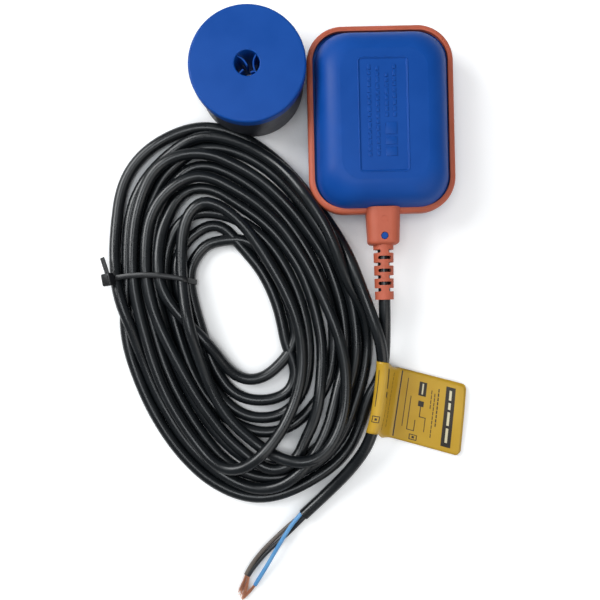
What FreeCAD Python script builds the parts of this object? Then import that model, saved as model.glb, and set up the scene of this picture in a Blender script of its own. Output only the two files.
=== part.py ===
"""A cable float switch: a two-part float in a soft band, its switch mechanism, counterweight and cable.

Millimetres, +Z up. The origin is the middle of the float's lower flat face, which lies on the floor.
+Y points along the float away from its cable. The cable lies coiled on the floor beside the float.
"""

import FreeCAD, Part
import math
import os
import re

import Sketcher

Vector = FreeCAD.Vector

# Driving sizes: name, value and what it is
SIZES = [
    ("float_depth", 40.0, "thickness of the float between its two flat faces"),
    ("shell_width", 79.0, "width of the shells at the parting plane"),
    ("shell_length", 103.0, "length of the shells at the parting plane"),
    ("shell_corner", 17.5, "corner radius of the shells in plan"),
    ("shell_wall", 2.5, "wall of the shells"),
    ("dome_round", 13.0, "rounding from the flat face to the sides"),
    ("flange_reach", 1.7, "how far the rim flange stands out"),
    ("flange_thickness", 2.0, "thickness of one rim flange"),
    ("band_cover", 3.5, "how far the band stands out from the shells"),
    ("band_height", 9.0, "height of the band across the parting plane"),
    ("band_round", 2.4, "rounding of the band's outer edges"),
    ("fit_gap", 0.1, "gap between parts that fit inside each other"),
    ("cut_over", 1.0, "how far a cut runs past the face that it opens"),
    ("panel_width", 27.0, "width of the recessed panel"),
    ("panel_length", 63.0, "length of the recessed panel"),
    ("panel_corner", 2.6, "corner radius of the recessed panel"),
    ("panel_drop", 0.5, "depth of the recessed panel"),
    ("bead_width", 1.0, "width of the raised bead round the panel"),
    ("bead_stand", 0.25, "how far the bead stands above the face"),
    ("collar_radius", 10.4, "radius of the shell's collar above the boot"),
    ("collar_length", 2.0, "length of that collar"),
    ("neck_radius", 5.5, "radius of the neck inside the boot"),
    ("neck_length", 20.0, "how far the neck reaches into the boot"),
    ("boot_width", 20.0, "width of the boot at its root"),
    ("boot_height", 18.0, "height of the boot at its root"),
    ("boot_corner", 6.0, "corner radius of the boot's section"),
    ("boot_length", 21.7, "length of the thick part of the boot"),
    ("boot_taper", 2.4, "draft of the thick part in degrees"),
    ("boot_round", 2.2, "rounding at the end of the thick part"),
    ("relief_radius", 6.0, "radius of the slotted strain relief at its root"),
    ("relief_length", 32.3, "length of the slotted strain relief"),
    ("relief_taper", 0.9, "draft of the slotted strain relief in degrees"),
    ("slot_start", 3.9, "from the boot's end to the middle of the first row of slots"),
    ("slot_pitch", 3.77, "distance between rows of slots"),
    ("slot_height", 2.0, "height of a slot along the cable"),
    ("slot_corner", 0.8, "corner radius of a slot"),
    ("face_slot_width", 7.5, "width of the slots in the front and back"),
    ("face_web_width", 4.4, "width of the web between the side slots"),
    ("side_slot_count", 4, "rows of side slots"),
    ("face_slot_count", 3, "rows of front and back slots"),
    ("pin_radius", 2.05, "radius of the pin that shows through the boot"),
    ("pin_place", 17.0, "from the shell's end to that pin"),
    ("pin_stand", 8.25, "height of the pin above the cable's axis"),
    ("gate_mark_radius", 1.9, "radius of the round moulding mark"),
    ("gate_mark_place", 7.5, "from the shell's end to that mark"),
    ("gate_mark_depth", 0.25, "depth of that mark"),
    ("cable_radius", 3.5, "outer radius of the cable's sheath"),
    ("core_radius", 1.25, "outer radius of one insulated core"),
    ("strand_radius", 0.65, "radius of one bared bundle of copper"),
    ("strand_length", 10.5, "length of a bared bundle of copper"),
    ("clamp_length", 5.0, "length of the cable clamp along the cable"),
    ("clamp_width", 22.0, "width of the cable clamp"),
    ("clamp_height", 5.5, "height of the cable clamp"),
    ("clamp_seat_gap", 0.2, "gap between the clamp and its posts"),
    ("clamp_inset", 5.0, "from the shell's end to the outer side of the clamp"),
    ("clamp_screw_place", 7.5, "from the cable's axis to a clamp screw"),
    ("cradle_length", 4.0, "length of the rest under the cable, between the clamp's posts"),
    ("cradle_corner", 0.5, "corner radius of that rest"),
    ("cable_stub", 0.5, "how far the sheath stands out past the clamp"),
    ("post_radius", 3.2, "radius of the mechanism's posts"),
    ("clamp_post_radius", 2.8, "radius of the clamp's posts"),
    ("thread_hole_radius", 1.25, "radius of the holes that the screws bite in"),
    ("thread_hole_depth", 6.0, "depth of those holes"),
    ("screw_radius", 1.2, "radius of a screw's shank"),
    ("screw_head_radius", 2.4, "radius of a screw's head"),
    ("screw_head_height", 1.7, "height of a screw's head"),
    ("screw_slot_width", 0.6, "width of a screw head's slot"),
    ("screw_slot_depth", 0.7, "depth of a screw head's slot"),
    ("screw_end_gap", 0.5, "from a screw's end to the end of its hole"),
    ("clear_hole_radius", 1.35, "radius of the holes that the screws pass"),
    ("ball_radius", 8.0, "radius of the rolling steel ball"),
    ("ball_gap", 0.3, "gap between the ball and its race"),
    ("race_wall", 2.0, "wall of the ball race"),
    ("race_floor", 2.0, "floor of the ball race and of the switch's seat"),
    ("race_lid", 2.0, "thickness of the race's cover"),
    ("race_far_end", 41.5, "inner end of the race from the float's middle"),
    ("race_screw_aside", 13.0, "from the float's middle line to a mechanism screw"),
    ("race_screw_far", 32.0, "from the float's middle to the far pair of screws"),
    ("race_screw_near", 4.0, "from the float's middle to the near pair of screws"),
    ("seat_width", 32.0, "width of the switch's seat"),
    ("seat_reach", 27.0, "from the float's middle to the seat's end"),
    ("rib_width", 18.0, "width of the rib under the switch"),
    ("rib_thickness", 1.5, "thickness of that rib"),
    ("rib_inset", 0.5, "from the switch's back to that rib"),
    ("seat_end", 1.0, "from the float's middle to where the seat meets the race"),
    ("switch_width", 27.8, "width of the microswitch"),
    ("switch_depth", 15.9, "depth of the microswitch from button to terminals"),
    ("switch_height", 10.3, "height of the microswitch as it lies"),
    ("switch_wall", 1.5, "wall of the microswitch"),
    ("switch_face", 9.1, "from the float's middle to the button's side of the switch"),
    ("switch_screw_aside", 11.6, "from the middle line to a microswitch screw"),
    ("switch_screw_inset", 3.1, "from the button's side to a microswitch screw"),
    ("switch_boss_radius", 2.3, "radius of the bosses round those screws"),
    ("hinge_aside", 10.0, "from the middle line to the lever's pin"),
    ("hinge_stand", 1.7, "from the button's side to the lever's pin"),
    ("lever_pin_radius", 0.6, "radius of the lever's pin"),
    ("lever_pin_stand", 0.3, "how far that pin stands out of the lever's eyes"),
    ("lever_pin_gap", 0.05, "gap round the lever's pin"),
    ("lever_eye_radius", 1.3, "radius of the lever's eyes"),
    ("lever_width", 6.0, "width of the lever"),
    ("lever_thickness", 0.5, "thickness of the lever's sheet"),
    ("lever_tip", 14.0, "from the middle line to the lever's tip"),
    ("lever_root", 8.4, "from the middle line to the notch round the lug"),
    ("lug_width", 2.2, "width of the lug that holds the lever's pin"),
    ("lug_height", 2.4, "height of that lug"),
    ("lug_gap", 0.3, "gap between the lug and the lever's eyes"),
    ("button_place", 4.0, "from the middle line to the button"),
    ("button_radius", 1.0, "radius of the button"),
    ("button_gap", 0.25, "gap round the button"),
    ("button_play", 0.1, "gap between the button and what it touches"),
    ("button_flange_radius", 1.6, "radius of the flange that keeps the button in"),
    ("button_flange_height", 1.1, "height of that flange"),
    ("stem_radius", 0.5, "radius of the button's inner stem"),
    ("blade_place", 6.4, "from the button's side to the contact blade"),
    ("blade_pivot_aside", 8.2, "from the middle line to the blade's pivot"),
    ("blade_tip", 5.2, "from the middle line to the blade's tip"),
    ("blade_thickness", 0.3, "thickness of the contact blade"),
    ("blade_roll_radius", 0.3, "radius of the roll at the blade's pivot"),
    ("blade_width", 4.0, "width of the contact blade"),
    ("contact_place", 4.2, "from the middle line to the fixed contacts"),
    ("contact_radius", 0.8, "radius of a fixed contact"),
    ("contact_height", 0.8, "height of a fixed contact"),
    ("contact_gap", 0.3, "gap between the blade and the closed contact"),
    ("blade_swing", 2.15, "how far the blade's face moves to the open contact"),
    ("terminal_thickness", 0.8, "thickness of a terminal"),
    ("terminal_width", 4.8, "width of a terminal"),
    ("terminal_reach", 6.0, "how far the terminals stand out of the switch"),
    ("closed_terminal_place", 8.4, "from the middle line to the closed terminal"),
    ("weight_across", -76.6, "the counterweight's axis, across the float"),
    ("weight_along", 28.8, "the counterweight's axis, along the float"),
    ("weight_height", 40.0, "height of the counterweight"),
    ("weight_radius", 31.7, "radius of the counterweight's body"),
    ("weight_wall", 2.0, "wall and floor of the counterweight's body"),
    ("cap_radius", 33.3, "radius of the counterweight's cap"),
    ("cap_height", 7.3, "height of the cap's skirt"),
    ("cap_lid", 2.0, "thickness of the cap's flat top"),
    ("cap_round", 1.3, "rounding of the cap's upper edge"),
    ("hole_radius", 7.2, "radius of the cable hole"),
    ("hole_round", 0.7, "rounding of the cable hole's edge"),
    ("sleeve_wall", 1.7, "wall of the sleeve round the cable hole"),
    ("sleeve_rise", 1.0, "height of the sleeve's end above the floor"),
    ("finger_thickness", 0.8, "thickness of a grip finger"),
    ("finger_height", 9.0, "height of a grip finger"),
    ("finger_drop", 2.2, "from the cap's top down to the grip fingers"),
    ("ballast_height", 12.0, "height of the ballast ring"),
    ("ballast_gap", 0.3, "gap round the ballast ring"),
    ("coil_height", 21.2, "height of the coil, which rests on the floor"),
    ("coil_round", 5.0, "rounding of the coil's edges"),
    ("tie_along", -89.6, "the cable tie, along the float"),
    ("tie_left", -167.0, "the outer left side of the tie's loop"),
    ("tie_right", -112.4, "the outer right side of the tie's loop"),
    ("tie_thickness", 1.1, "thickness of the tie's strap"),
    ("tie_width", 3.2, "width of the tie's strap"),
    ("tie_corner", 5.6, "corner radius of the tie's loop"),
    ("tie_top_gap", 0.1, "gap between the tie and the coil's top"),
    ("tie_head_length", 6.4, "length of the tie's head along the strap"),
    ("tie_head_width", 6.0, "width of the tie's head"),
    ("tie_head_height", 4.6, "height of the tie's head"),
    ("tie_head_corner", 1.0, "corner radius of the tie's head"),
    ("tie_tail_length", 11.5, "length of the tie's cut-off tail"),
    ("tie_tail_width", 2.4, "width of the tie's cut-off tail"),
    ("tie_tail_corner", 0.4, "corner radius of that tail"),
    ("tie_tail_root", 1.5, "how far that tail reaches into the head"),
    ("tie_tail_aside", 1.0, "from the loop's outer side to that tail"),
    ("tie_tail_lean", 14.0, "lean of that tail in degrees"),
    ("label_wrap_gap", 0.1, "gap between the label and the cable"),
    ("label_thickness", 0.35, "thickness of the label, both layers together"),
    ("label_length", 43.5, "length of the label along the cable"),
    ("label_reach", 48.5, "from the cable's axis to the label's far edge"),
    ("label_rise", 1.2, "height of the label's flat part above the floor"),
    ("label_fall", 62.0, "slope in degrees where the label comes down"),
    ("label_bend", 5.0, "radius of the label's bend at the foot of the slope"),
]

# Of the shorter run at a corner of a route, the share that each arc takes
ARC_SHARE = 0.45

# Points of the cable that isn't coiled, chosen by hand. The label sits on the tail's run after LABEL_RUN.
LEAD_ROUTE = [
    (0.0, -105.6, 20.0),
    (0.0, -115.6, 20.0),
    (0.3, -126.0, 15.8),
    (0.7, -136.5, 10.2),
    (0.3, -147.0, 6.6),
    (-3.6, -157.6, 4.8),
    (-10.5, -167.0, 4.3),
]
TAIL_ROUTE = [
    (-17.9, -85.5, 19.0),
    (-10.0, -109.1, 22.0),
    (-3.5, -128.0, 22.4),
    (-0.4, -144.0, 16.4),
    (-7.3, -187.0, 15.6),
    (-20.0, -207.0, 9.6),
    (-35.3, -223.2, 4.0),
    (-50.8, -237.1, 3.5),
]
LABEL_RUN = 3
BLUE_ROUTE = [
    (-51.7, -236.1, 4.25),
    (-60.5, -244.0, 4.2),
    (-67.4, -254.0, 4.5),
    (-71.8, -265.9, 4.2),
    (-75.6, -274.4, 1.5),
    (-80.2, -281.0, 1.3),
]
BLACK_ROUTE = [
    (-50.8, -237.1, 2.0),
    (-55.3, -241.1, 1.7),
    (-61.5, -248.4, 1.4),
    (-72.5, -260.6, 1.3),
    (-85.2, -275.3, 1.3),
]
BROWN_ROUTE = [
    (-49.9, -238.1, 4.25),
    (-53.6, -241.4, 4.0),
    (-60.2, -251.6, 1.4),
    (-70.5, -262.4, 1.3),
    (-83.2, -277.2, 1.3),
]

# The coil's outer and inner outline, seen from above, chosen by hand
COIL_OUTER = [
    (-162.8, -55.0),
    (-151.5, -14.0),
    (-111.0, 0.5),
    (-72.0, -9.0),
    (-49.5, -30.0),
    (-39.5, -53.0),
    (-26.5, -67.0),
    (-14.0, -92.0),
    (-5.0, -122.0),
    (-8.4, -145.0),
    (-10.2, -163.0),
    (-15.0, -186.0),
    (-27.5, -204.0),
    (-50.0, -218.5),
    (-74.2, -225.5),
    (-125.0, -190.0),
    (-154.5, -119.0),
    (-162.2, -88.0),
]
COIL_INNER = [
    (-113.6, -80.0),
    (-94.7, -68.8),
    (-72.0, -77.0),
    (-59.5, -103.9),
    (-55.0, -133.0),
    (-80.0, -149.5),
    (-102.3, -137.5),
    (-114.6, -102.0),
]

# The grip fingers in the cable hole, from above: root in the sleeve, middle and tip, from the hole's axis
FINGERS = [
    ((-6.0, 4.8), (-1.9, 2.1), (-0.2, -0.7)),
    ((5.3, 5.5), (3.4, 0.6), (4.2, -3.4)),
    ((-4.9, -5.9), (-3.5, -4.0), (-2.3, -3.0)),
    ((5.8, -5.0), (3.6, -4.1), (1.9, -4.7)),
]

doc = FreeCAD.newDocument("CableFloatSwitch")
sizes = doc.addObject("Spreadsheet::Sheet", "Sizes")
worked = doc.addObject("Spreadsheet::Sheet", "Worked")
for row, (name, value, meaning) in enumerate(SIZES, 1):
    sizes.set(f"A{row}", name)
    sizes.set(f"B{row}", str(value))
    sizes.set(f"C{row}", meaning)
    sizes.setAlias(f"B{row}", name)
doc.recompute()
NAMES = {name for name, value, meaning in SIZES}
formulas = {}
pieces = []


def bound(text):
    """The formula with each size's name turned into a reference to its cell."""
    words = re.split(r"([a-z][a-z_0-9]*)", text)
    return "".join("Sizes." + word if word in NAMES else word for word in words)


def number(text):
    """The formula's value, worked out in the second sheet."""
    if text not in formulas:
        cell = f"A{len(formulas) + 1}"
        worked.set(cell, "=" + bound(text))
        worked.recompute()
        formulas[text] = float(worked.get(cell))
    return formulas[text]


def keep(piece, label):
    """Names a finished sub-part."""
    piece.Label = label
    pieces.append(piece)
    return piece


# Sketches


def sketch(body, plane, offset="0", across="0", up="0"):
    """A sketch on one of the body's origin planes, moved out along its normal and within it."""
    drawing = body.newObject("Sketcher::SketchObject", "Sketch")
    flat = [item for item in body.Origin.OriginFeatures if item.Role == plane + "_Plane"][0]
    drawing.AttachmentSupport = [(flat, "")]
    drawing.MapMode = "FlatFace"
    for axis, text in (("x", across), ("y", up), ("z", offset)):
        drawing.setExpression("AttachmentOffset.Base." + axis, bound(text))
    return drawing


def sized(drawing, kind, *places, text):
    """A constraint whose value follows a formula."""
    index = drawing.addConstraint(Sketcher.Constraint(kind, *places, number(text)))
    drawing.setExpression(f"Constraints[{index}]", bound(text))


def rounded_rectangle(drawing, width, length, corner):
    """A rounded rectangle about the sketch's origin."""
    half_width = number(width) / 2
    half_length = number(length) / 2
    radius = number(corner)
    in_x = half_width - radius
    in_y = half_length - radius
    lines = [
        ((-in_x, -half_length), (in_x, -half_length)),
        ((half_width, -in_y), (half_width, in_y)),
        ((in_x, half_length), (-in_x, half_length)),
        ((-half_width, in_y), (-half_width, -in_y)),
    ]
    centres = [(in_x, -in_y), (in_x, in_y), (-in_x, in_y), (-in_x, -in_y)]
    first = drawing.GeometryCount
    for side in range(4):
        start, end = lines[side]
        drawing.addGeometry(Part.LineSegment(Vector(*start, 0), Vector(*end, 0)))
        circle = Part.Circle(Vector(*centres[side], 0), Vector(0, 0, 1), radius)
        turn = (side - 1) * math.pi / 2
        drawing.addGeometry(Part.ArcOfCircle(circle, turn, turn + math.pi / 2))
    for step in range(8):
        drawing.addConstraint(Sketcher.Constraint("Tangent", first + step, 2, first + (step + 1) % 8, 1))
    for side, kind in enumerate(("Horizontal", "Vertical", "Horizontal", "Vertical")):
        drawing.addConstraint(Sketcher.Constraint(kind, first + 2 * side))
    for side in range(1, 4):
        drawing.addConstraint(Sketcher.Constraint("Equal", first + 1, first + 1 + 2 * side))
    drawing.addConstraint(Sketcher.Constraint("Symmetric", first, 1, first + 4, 1, -1, 1))
    sized(drawing, "DistanceX", first + 6, 1, first + 2, 1, text=width)
    sized(drawing, "DistanceY", first, 1, first + 4, 1, text=length)
    sized(drawing, "Radius", first + 1, text=corner)


def place(drawing, index, kind, text):
    """Holds a circle's centre at a distance from the sketch's origin, with its sign."""
    value = number(text)
    if abs(value) < 0.001:
        axis = -2 if kind == "DistanceX" else -1
        drawing.addConstraint(Sketcher.Constraint("PointOnObject", index, 3, axis))
    elif value < 0:
        sized(drawing, kind, index, 3, -1, 1, text=f"-({text})")
    else:
        sized(drawing, kind, -1, 1, index, 3, text=text)


def circle(drawing, radius, across="0", up="0"):
    """A circle at a place of the sketch."""
    centre = Vector(number(across), number(up), 0)
    index = drawing.addGeometry(Part.Circle(centre, Vector(0, 0, 1), number(radius)))
    place(drawing, index, "DistanceX", across)
    place(drawing, index, "DistanceY", up)
    sized(drawing, "Radius", index, text=radius)


def half_disc(drawing, radius, upper):
    """Half a disc about the sketch's origin, above or below its X axis."""
    turn = 0 if upper else math.pi
    whole = Part.Circle(Vector(0, 0, 0), Vector(0, 0, 1), number(radius))
    arc = drawing.addGeometry(Part.ArcOfCircle(whole, turn, turn + math.pi))
    reach = number(radius) * (1 if upper else -1)
    line = drawing.addGeometry(Part.LineSegment(Vector(-reach, 0, 0), Vector(reach, 0, 0)))
    drawing.addConstraint(Sketcher.Constraint("Coincident", arc, 3, -1, 1))
    drawing.addConstraint(Sketcher.Constraint("Coincident", arc, 2, line, 1))
    drawing.addConstraint(Sketcher.Constraint("Coincident", line, 2, arc, 1))
    drawing.addConstraint(Sketcher.Constraint("PointOnObject", arc, 1, -1))
    sized(drawing, "Radius", arc, text=radius)


# Features of a body


def pad(body, drawing, length, reverse=False, both_ways=False, taper="0"):
    """Adds the sketch's area along its normal."""
    made = body.newObject("PartDesign::Pad", "Pad")
    made.Profile = drawing
    made.setExpression("Length", bound(length))
    made.setExpression("TaperAngle", bound(taper))
    made.SideType = "Symmetric" if both_ways else "One side"
    made.Reversed = reverse
    doc.recompute()
    return made


def pocket(body, drawing, length, reverse=False, both_ways=False):
    """Cuts the sketch's area against its normal, and fails if that takes nothing away."""
    before = body.Shape.Volume
    made = body.newObject("PartDesign::Pocket", "Pocket")
    made.Profile = drawing
    made.setExpression("Length", bound(length))
    made.SideType = "Symmetric" if both_ways else "One side"
    made.Reversed = reverse
    doc.recompute()
    if body.Shape.Volume > before - 0.001:
        raise RuntimeError(f"{body.Label}: a pocket cuts nothing")
    return made


def fillet(body, radius, chosen):
    """Rounds the edges of the body's last feature that the given test picks."""
    base = body.Tip
    names = [f"Edge{place}" for place, edge in enumerate(base.Shape.Edges, 1) if chosen(edge)]
    made = body.newObject("PartDesign::Fillet", "Fillet")
    made.Base = (base, names)
    made.setExpression("Radius", bound(radius))
    doc.recompute()
    return made


def hollow_out(body, wall, height):
    """Leaves a wall of even thickness, open at the flat face at a height."""
    base = body.Tip
    open_faces = [f"Face{place}" for place, face in enumerate(base.Shape.Faces, 1) if level(face, height)]
    made = body.newObject("PartDesign::Thickness", "Thickness")
    made.Base = (base, open_faces)
    made.setExpression("Value", bound(wall))
    made.Reversed = True
    doc.recompute()
    return made


def level(edge, height, axis="z"):
    """True if all of an edge or face lies at one height."""
    box = edge.BoundBox
    low, high = {"x": (box.XMin, box.XMax), "y": (box.YMin, box.YMax), "z": (box.ZMin, box.ZMax)}[axis]
    return abs(low - height) < 0.01 and abs(high - height) < 0.01


# Primitives and booleans


def block(x_from, x_to, y_from, y_to, z_from, z_to):
    """A box between two corners."""
    made = doc.addObject("Part::Box", "Block")
    spans = (("Length", "x", x_from, x_to), ("Width", "y", y_from, y_to), ("Height", "z", z_from, z_to))
    for side, axis, low, high in spans:
        made.setExpression(side, bound(f"({high}) - ({low})"))
        made.setExpression("Placement.Base." + axis, bound(low))
    return made


def rod(radius, x, y, z, length, axis="z"):
    """A cylinder from a point along +X, +Y or +Z."""
    made = doc.addObject("Part::Cylinder", "Rod")
    turns = {"x": (Vector(0, 1, 0), 90), "y": (Vector(1, 0, 0), -90), "z": (Vector(0, 0, 1), 0)}
    made.Placement = FreeCAD.Placement(Vector(), FreeCAD.Rotation(*turns[axis]))
    made.setExpression("Radius", bound(radius))
    made.setExpression("Height", bound(length))
    for name, text in (("x", x), ("y", y), ("z", z)):
        made.setExpression("Placement.Base." + name, bound(text))
    return made


def fuse(*parts):
    """Several solids as one."""
    if len(parts) == 1:
        return parts[0]
    made = doc.addObject("Part::MultiFuse", "Fuse")
    made.Shapes = list(parts)
    made.Refine = True
    return made


def cut(base, *tools):
    """A solid less others."""
    made = doc.addObject("Part::Cut", "Cut")
    made.Base = base
    made.Tool = fuse(*tools)
    return made


def solid(label, shape):
    """A sub-part whose shape is worked out here."""
    made = doc.addObject("Part::Feature", label)
    made.Shape = shape
    return keep(made, label)


# Heights and places that several sub-parts share, as formulas
MIDDLE = "float_depth / 2"
SHELL_END = "shell_length / 2"
BOOT_ROOT = f"{SHELL_END} + fit_gap"
RELIEF_ROOT = f"{BOOT_ROOT} + boot_length"
CABLE_EXIT = f"{RELIEF_ROOT} + relief_length"
RACE_HALF = "(ball_radius + ball_gap)"
SEAT_UNDER = f"{MIDDLE} - {RACE_HALF} - race_floor"
SEAT_TOP = f"{MIDDLE} - {RACE_HALF}"
RACE_TOP = f"{MIDDLE} + {RACE_HALF}"
LID_TOP = f"{RACE_TOP} + race_lid"
SWITCH_UNDER = f"{MIDDLE} - switch_height / 2"
SWITCH_TOP = f"{MIDDLE} + switch_height / 2"
SWITCH_BACK = "-switch_face - switch_depth"
HINGE_Y = "-switch_face + hinge_stand"
LEVER_INNER = f"{HINGE_Y} + lever_eye_radius - lever_thickness"
BLADE_Y = "-switch_face - blade_place"
CLAMP_FROM = f"-({SHELL_END}) + clamp_inset"
CLAMP_TO = f"{CLAMP_FROM} + clamp_length"
CLAMP_MIDDLE = f"{CLAMP_FROM} + clamp_length / 2"
CLAMP_UNDER = f"{MIDDLE} + clamp_seat_gap"
CLAMP_TOP = f"{CLAMP_UNDER} + clamp_height"
MECHANISM_SCREWS = [
    (side + "race_screw_aside", end) for side in ("-", "") for end in ("race_screw_near", "race_screw_far")
]
SWITCH_SCREWS = [(side + "switch_screw_aside", "-switch_face - switch_screw_inset") for side in ("-", "")]
CLAMP_SCREWS = [(side + "clamp_screw_place", CLAMP_MIDDLE) for side in ("-", "")]


def shell(label, upper):
    """One half of the float: a domed tray with a rim flange, a collar and half of the neck."""
    body = doc.addObject("PartDesign::Body", label)
    keep(body, label)
    face = number("float_depth") if upper else 0.0
    outline = sketch(body, "XY", MIDDLE)
    rounded_rectangle(outline, "shell_width", "shell_length", "shell_corner")
    pad(body, outline, MIDDLE, reverse=not upper)
    fillet(body, "dome_round", lambda edge: level(edge, face))
    hollow_out(body, "shell_wall", number(MIDDLE))
    rim = sketch(body, "XY", MIDDLE)
    reach = "2 * flange_reach"
    inner = "2 * shell_wall"
    rounded_rectangle(rim, f"shell_width + {reach}", f"shell_length + {reach}", "shell_corner + flange_reach")
    rounded_rectangle(rim, f"shell_width - {inner}", f"shell_length - {inner}", "shell_corner - shell_wall")
    pad(body, rim, "flange_thickness", reverse=not upper)
    collar = sketch(body, "XZ", f"{SHELL_END} - collar_length", up=MIDDLE)
    half_disc(collar, "collar_radius", upper)
    pad(body, collar, "collar_length")
    neck = sketch(body, "XZ", f"{SHELL_END} - shell_wall / 2", up=MIDDLE)
    half_disc(neck, "neck_radius", upper)
    pad(body, neck, "neck_length + shell_wall / 2")
    return body


def bore_neck(body):
    """The channel for the cable through the neck, the wall and what holds the cable inside."""
    channel = sketch(body, "XZ", f"-({CLAMP_TO})", up=MIDDLE)
    circle(channel, "cable_radius + fit_gap")
    pocket(body, channel, f"{SHELL_END} + neck_length + ({CLAMP_TO})", reverse=True)


def pin_boss(body, upper):
    """The pin that stands out of the neck and shows through the boot."""
    pin = sketch(body, "XY", MIDDLE, up=f"-({SHELL_END} + pin_place)")
    circle(pin, "pin_radius")
    pad(body, pin, "pin_stand", reverse=not upper)


def panel(body):
    """The recessed panel in the front face, with its raised bead."""
    recess = sketch(body, "XY", "float_depth")
    rounded_rectangle(recess, "panel_width", "panel_length", "panel_corner")
    pocket(body, recess, "panel_drop")
    bead = sketch(body, "XY", "float_depth - panel_drop")
    inner = "2 * bead_width"
    rounded_rectangle(bead, "panel_width", "panel_length", "panel_corner")
    rounded_rectangle(bead, f"panel_width - {inner}", f"panel_length - {inner}", "panel_corner - bead_width")
    pad(body, bead, "panel_drop + bead_stand")


front = shell("front_shell", True)
pin_boss(front, True)
bore_neck(front)
panel(front)

rear = shell("rear_shell", False)
pin_boss(rear, False)
embedded = "shell_wall / 2"
posts = sketch(rear, "XY", embedded)
for x, y in MECHANISM_SCREWS:
    circle(posts, "post_radius", x, y)
pad(rear, posts, f"{SEAT_UNDER} - {embedded}")
clamp_posts = sketch(rear, "XY", embedded)
for x, y in CLAMP_SCREWS:
    circle(clamp_posts, "clamp_post_radius", x, y)
pad(rear, clamp_posts, f"{MIDDLE} - {embedded}")
cradle = sketch(rear, "XY", embedded, up=CLAMP_MIDDLE)
rounded_rectangle(cradle, "2 * clamp_screw_place", "cradle_length", "cradle_corner")
pad(rear, cradle, f"{MIDDLE} - cable_radius / 2 - {embedded}")
bore_neck(rear)
holes = sketch(rear, "XY", SEAT_UNDER)
for x, y in MECHANISM_SCREWS:
    circle(holes, "thread_hole_radius", x, y)
pocket(rear, holes, "thread_hole_depth")
clamp_holes = sketch(rear, "XY", MIDDLE)
for x, y in CLAMP_SCREWS:
    circle(clamp_holes, "thread_hole_radius", x, y)
pocket(rear, clamp_holes, "2 * thread_hole_depth")


def seal_band():
    """The soft band round the float, its boot and the slotted strain relief, moulded in one."""
    body = doc.addObject("PartDesign::Body", "seal_band")
    keep(body, "seal_band")
    cover = "2 * band_cover"
    outline = sketch(body, "XY", MIDDLE)
    corner = "shell_corner + band_cover"
    rounded_rectangle(outline, f"shell_width + {cover}", f"shell_length + {cover}", corner)
    pad(body, outline, "band_height", both_ways=True)
    top = number(f"{MIDDLE} + band_height / 2")
    bottom = number(f"{MIDDLE} - band_height / 2")
    fillet(body, "band_round", lambda edge: level(edge, top) or level(edge, bottom))
    thick = sketch(body, "XZ", BOOT_ROOT, up=MIDDLE)
    rounded_rectangle(thick, "boot_width", "boot_height", "boot_corner")
    pad(body, thick, "boot_length", taper="-boot_taper")
    end = -number(RELIEF_ROOT)
    fillet(body, "boot_round", lambda edge: level(edge, end, "y"))
    relief = sketch(body, "XZ", f"{RELIEF_ROOT} - boot_round", up=MIDDLE)
    circle(relief, "relief_radius")
    pad(body, relief, "relief_length + boot_round", taper="-relief_taper")
    opening = sketch(body, "XY", MIDDLE)
    gaps = "2 * fit_gap"
    rounded_rectangle(opening, f"shell_width + {gaps}", f"shell_length + {gaps}", "shell_corner + fit_gap")
    pocket(body, opening, "float_depth", both_ways=True)
    groove = sketch(body, "XY", MIDDLE)
    reach = "2 * flange_reach + 2 * fit_gap"
    corner = "shell_corner + flange_reach + fit_gap"
    rounded_rectangle(groove, f"shell_width + {reach}", f"shell_length + {reach}", corner)
    pocket(body, groove, "2 * flange_thickness", both_ways=True)
    bore = sketch(body, "XZ", SHELL_END, up=MIDDLE)
    circle(bore, "cable_radius + fit_gap")
    pocket(body, bore, f"{CABLE_EXIT}", reverse=True)
    neck_room = sketch(body, "XZ", SHELL_END, up=MIDDLE)
    circle(neck_room, "neck_radius + fit_gap")
    pocket(body, neck_room, "neck_length + fit_gap", reverse=True)
    pin_hole = sketch(body, "XY", MIDDLE, up=f"-({SHELL_END} + pin_place)")
    circle(pin_hole, "pin_radius + fit_gap")
    pocket(body, pin_hole, "2 * boot_height", both_ways=True)
    face_drop = "gate_mark_place * tan(boot_taper * 1 deg)"
    mark_level = f"{MIDDLE} + boot_height / 2 - {face_drop}"
    mark = sketch(body, "XY", mark_level, up=f"-({SHELL_END} + gate_mark_place)")
    circle(mark, "gate_mark_radius")
    pocket(body, mark, "2 * gate_mark_depth", both_ways=True)
    side_slots(body)
    face_slots(body)
    return body


def repeat_down(body, feature, count, pitch):
    """Repeats a feature along the strain relief, away from the float."""
    pattern = body.newObject("PartDesign::LinearPattern", "Rows")
    pattern.Originals = [feature]
    axis = [item for item in body.Origin.OriginFeatures if item.Role == "Y_Axis"][0]
    pattern.Direction = (axis, [""])
    pattern.Reversed = True
    pattern.Mode = "Spacing"
    pattern.setExpression("Offset", bound(pitch))
    pattern.setExpression("Occurrences", bound(count))
    body.Tip = pattern
    doc.recompute()


def side_slots(body):
    """Slots that cut the relief's sides and leave a web in front and behind."""
    reach = "relief_radius"
    for side in ("", "-"):
        middle = f"{side}(face_web_width / 2 + {reach} / 2)"
        row = sketch(body, "XY", MIDDLE, across=middle, up=f"-({RELIEF_ROOT} + slot_start)")
        rounded_rectangle(row, reach, "slot_height", "slot_corner")
        first = pocket(body, row, "3 * relief_radius", both_ways=True)
        repeat_down(body, first, "side_slot_count", "2 * slot_pitch")


def face_slots(body):
    """Slots that cut the relief's front and back and leave a web at each side."""
    row = sketch(body, "XY", MIDDLE, up=f"-({RELIEF_ROOT} + slot_start + slot_pitch)")
    rounded_rectangle(row, "face_slot_width", "slot_height", "slot_corner")
    first = pocket(body, row, "3 * relief_radius", both_ways=True)
    repeat_down(body, first, "face_slot_count", "2 * slot_pitch")


seal_band()


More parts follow.
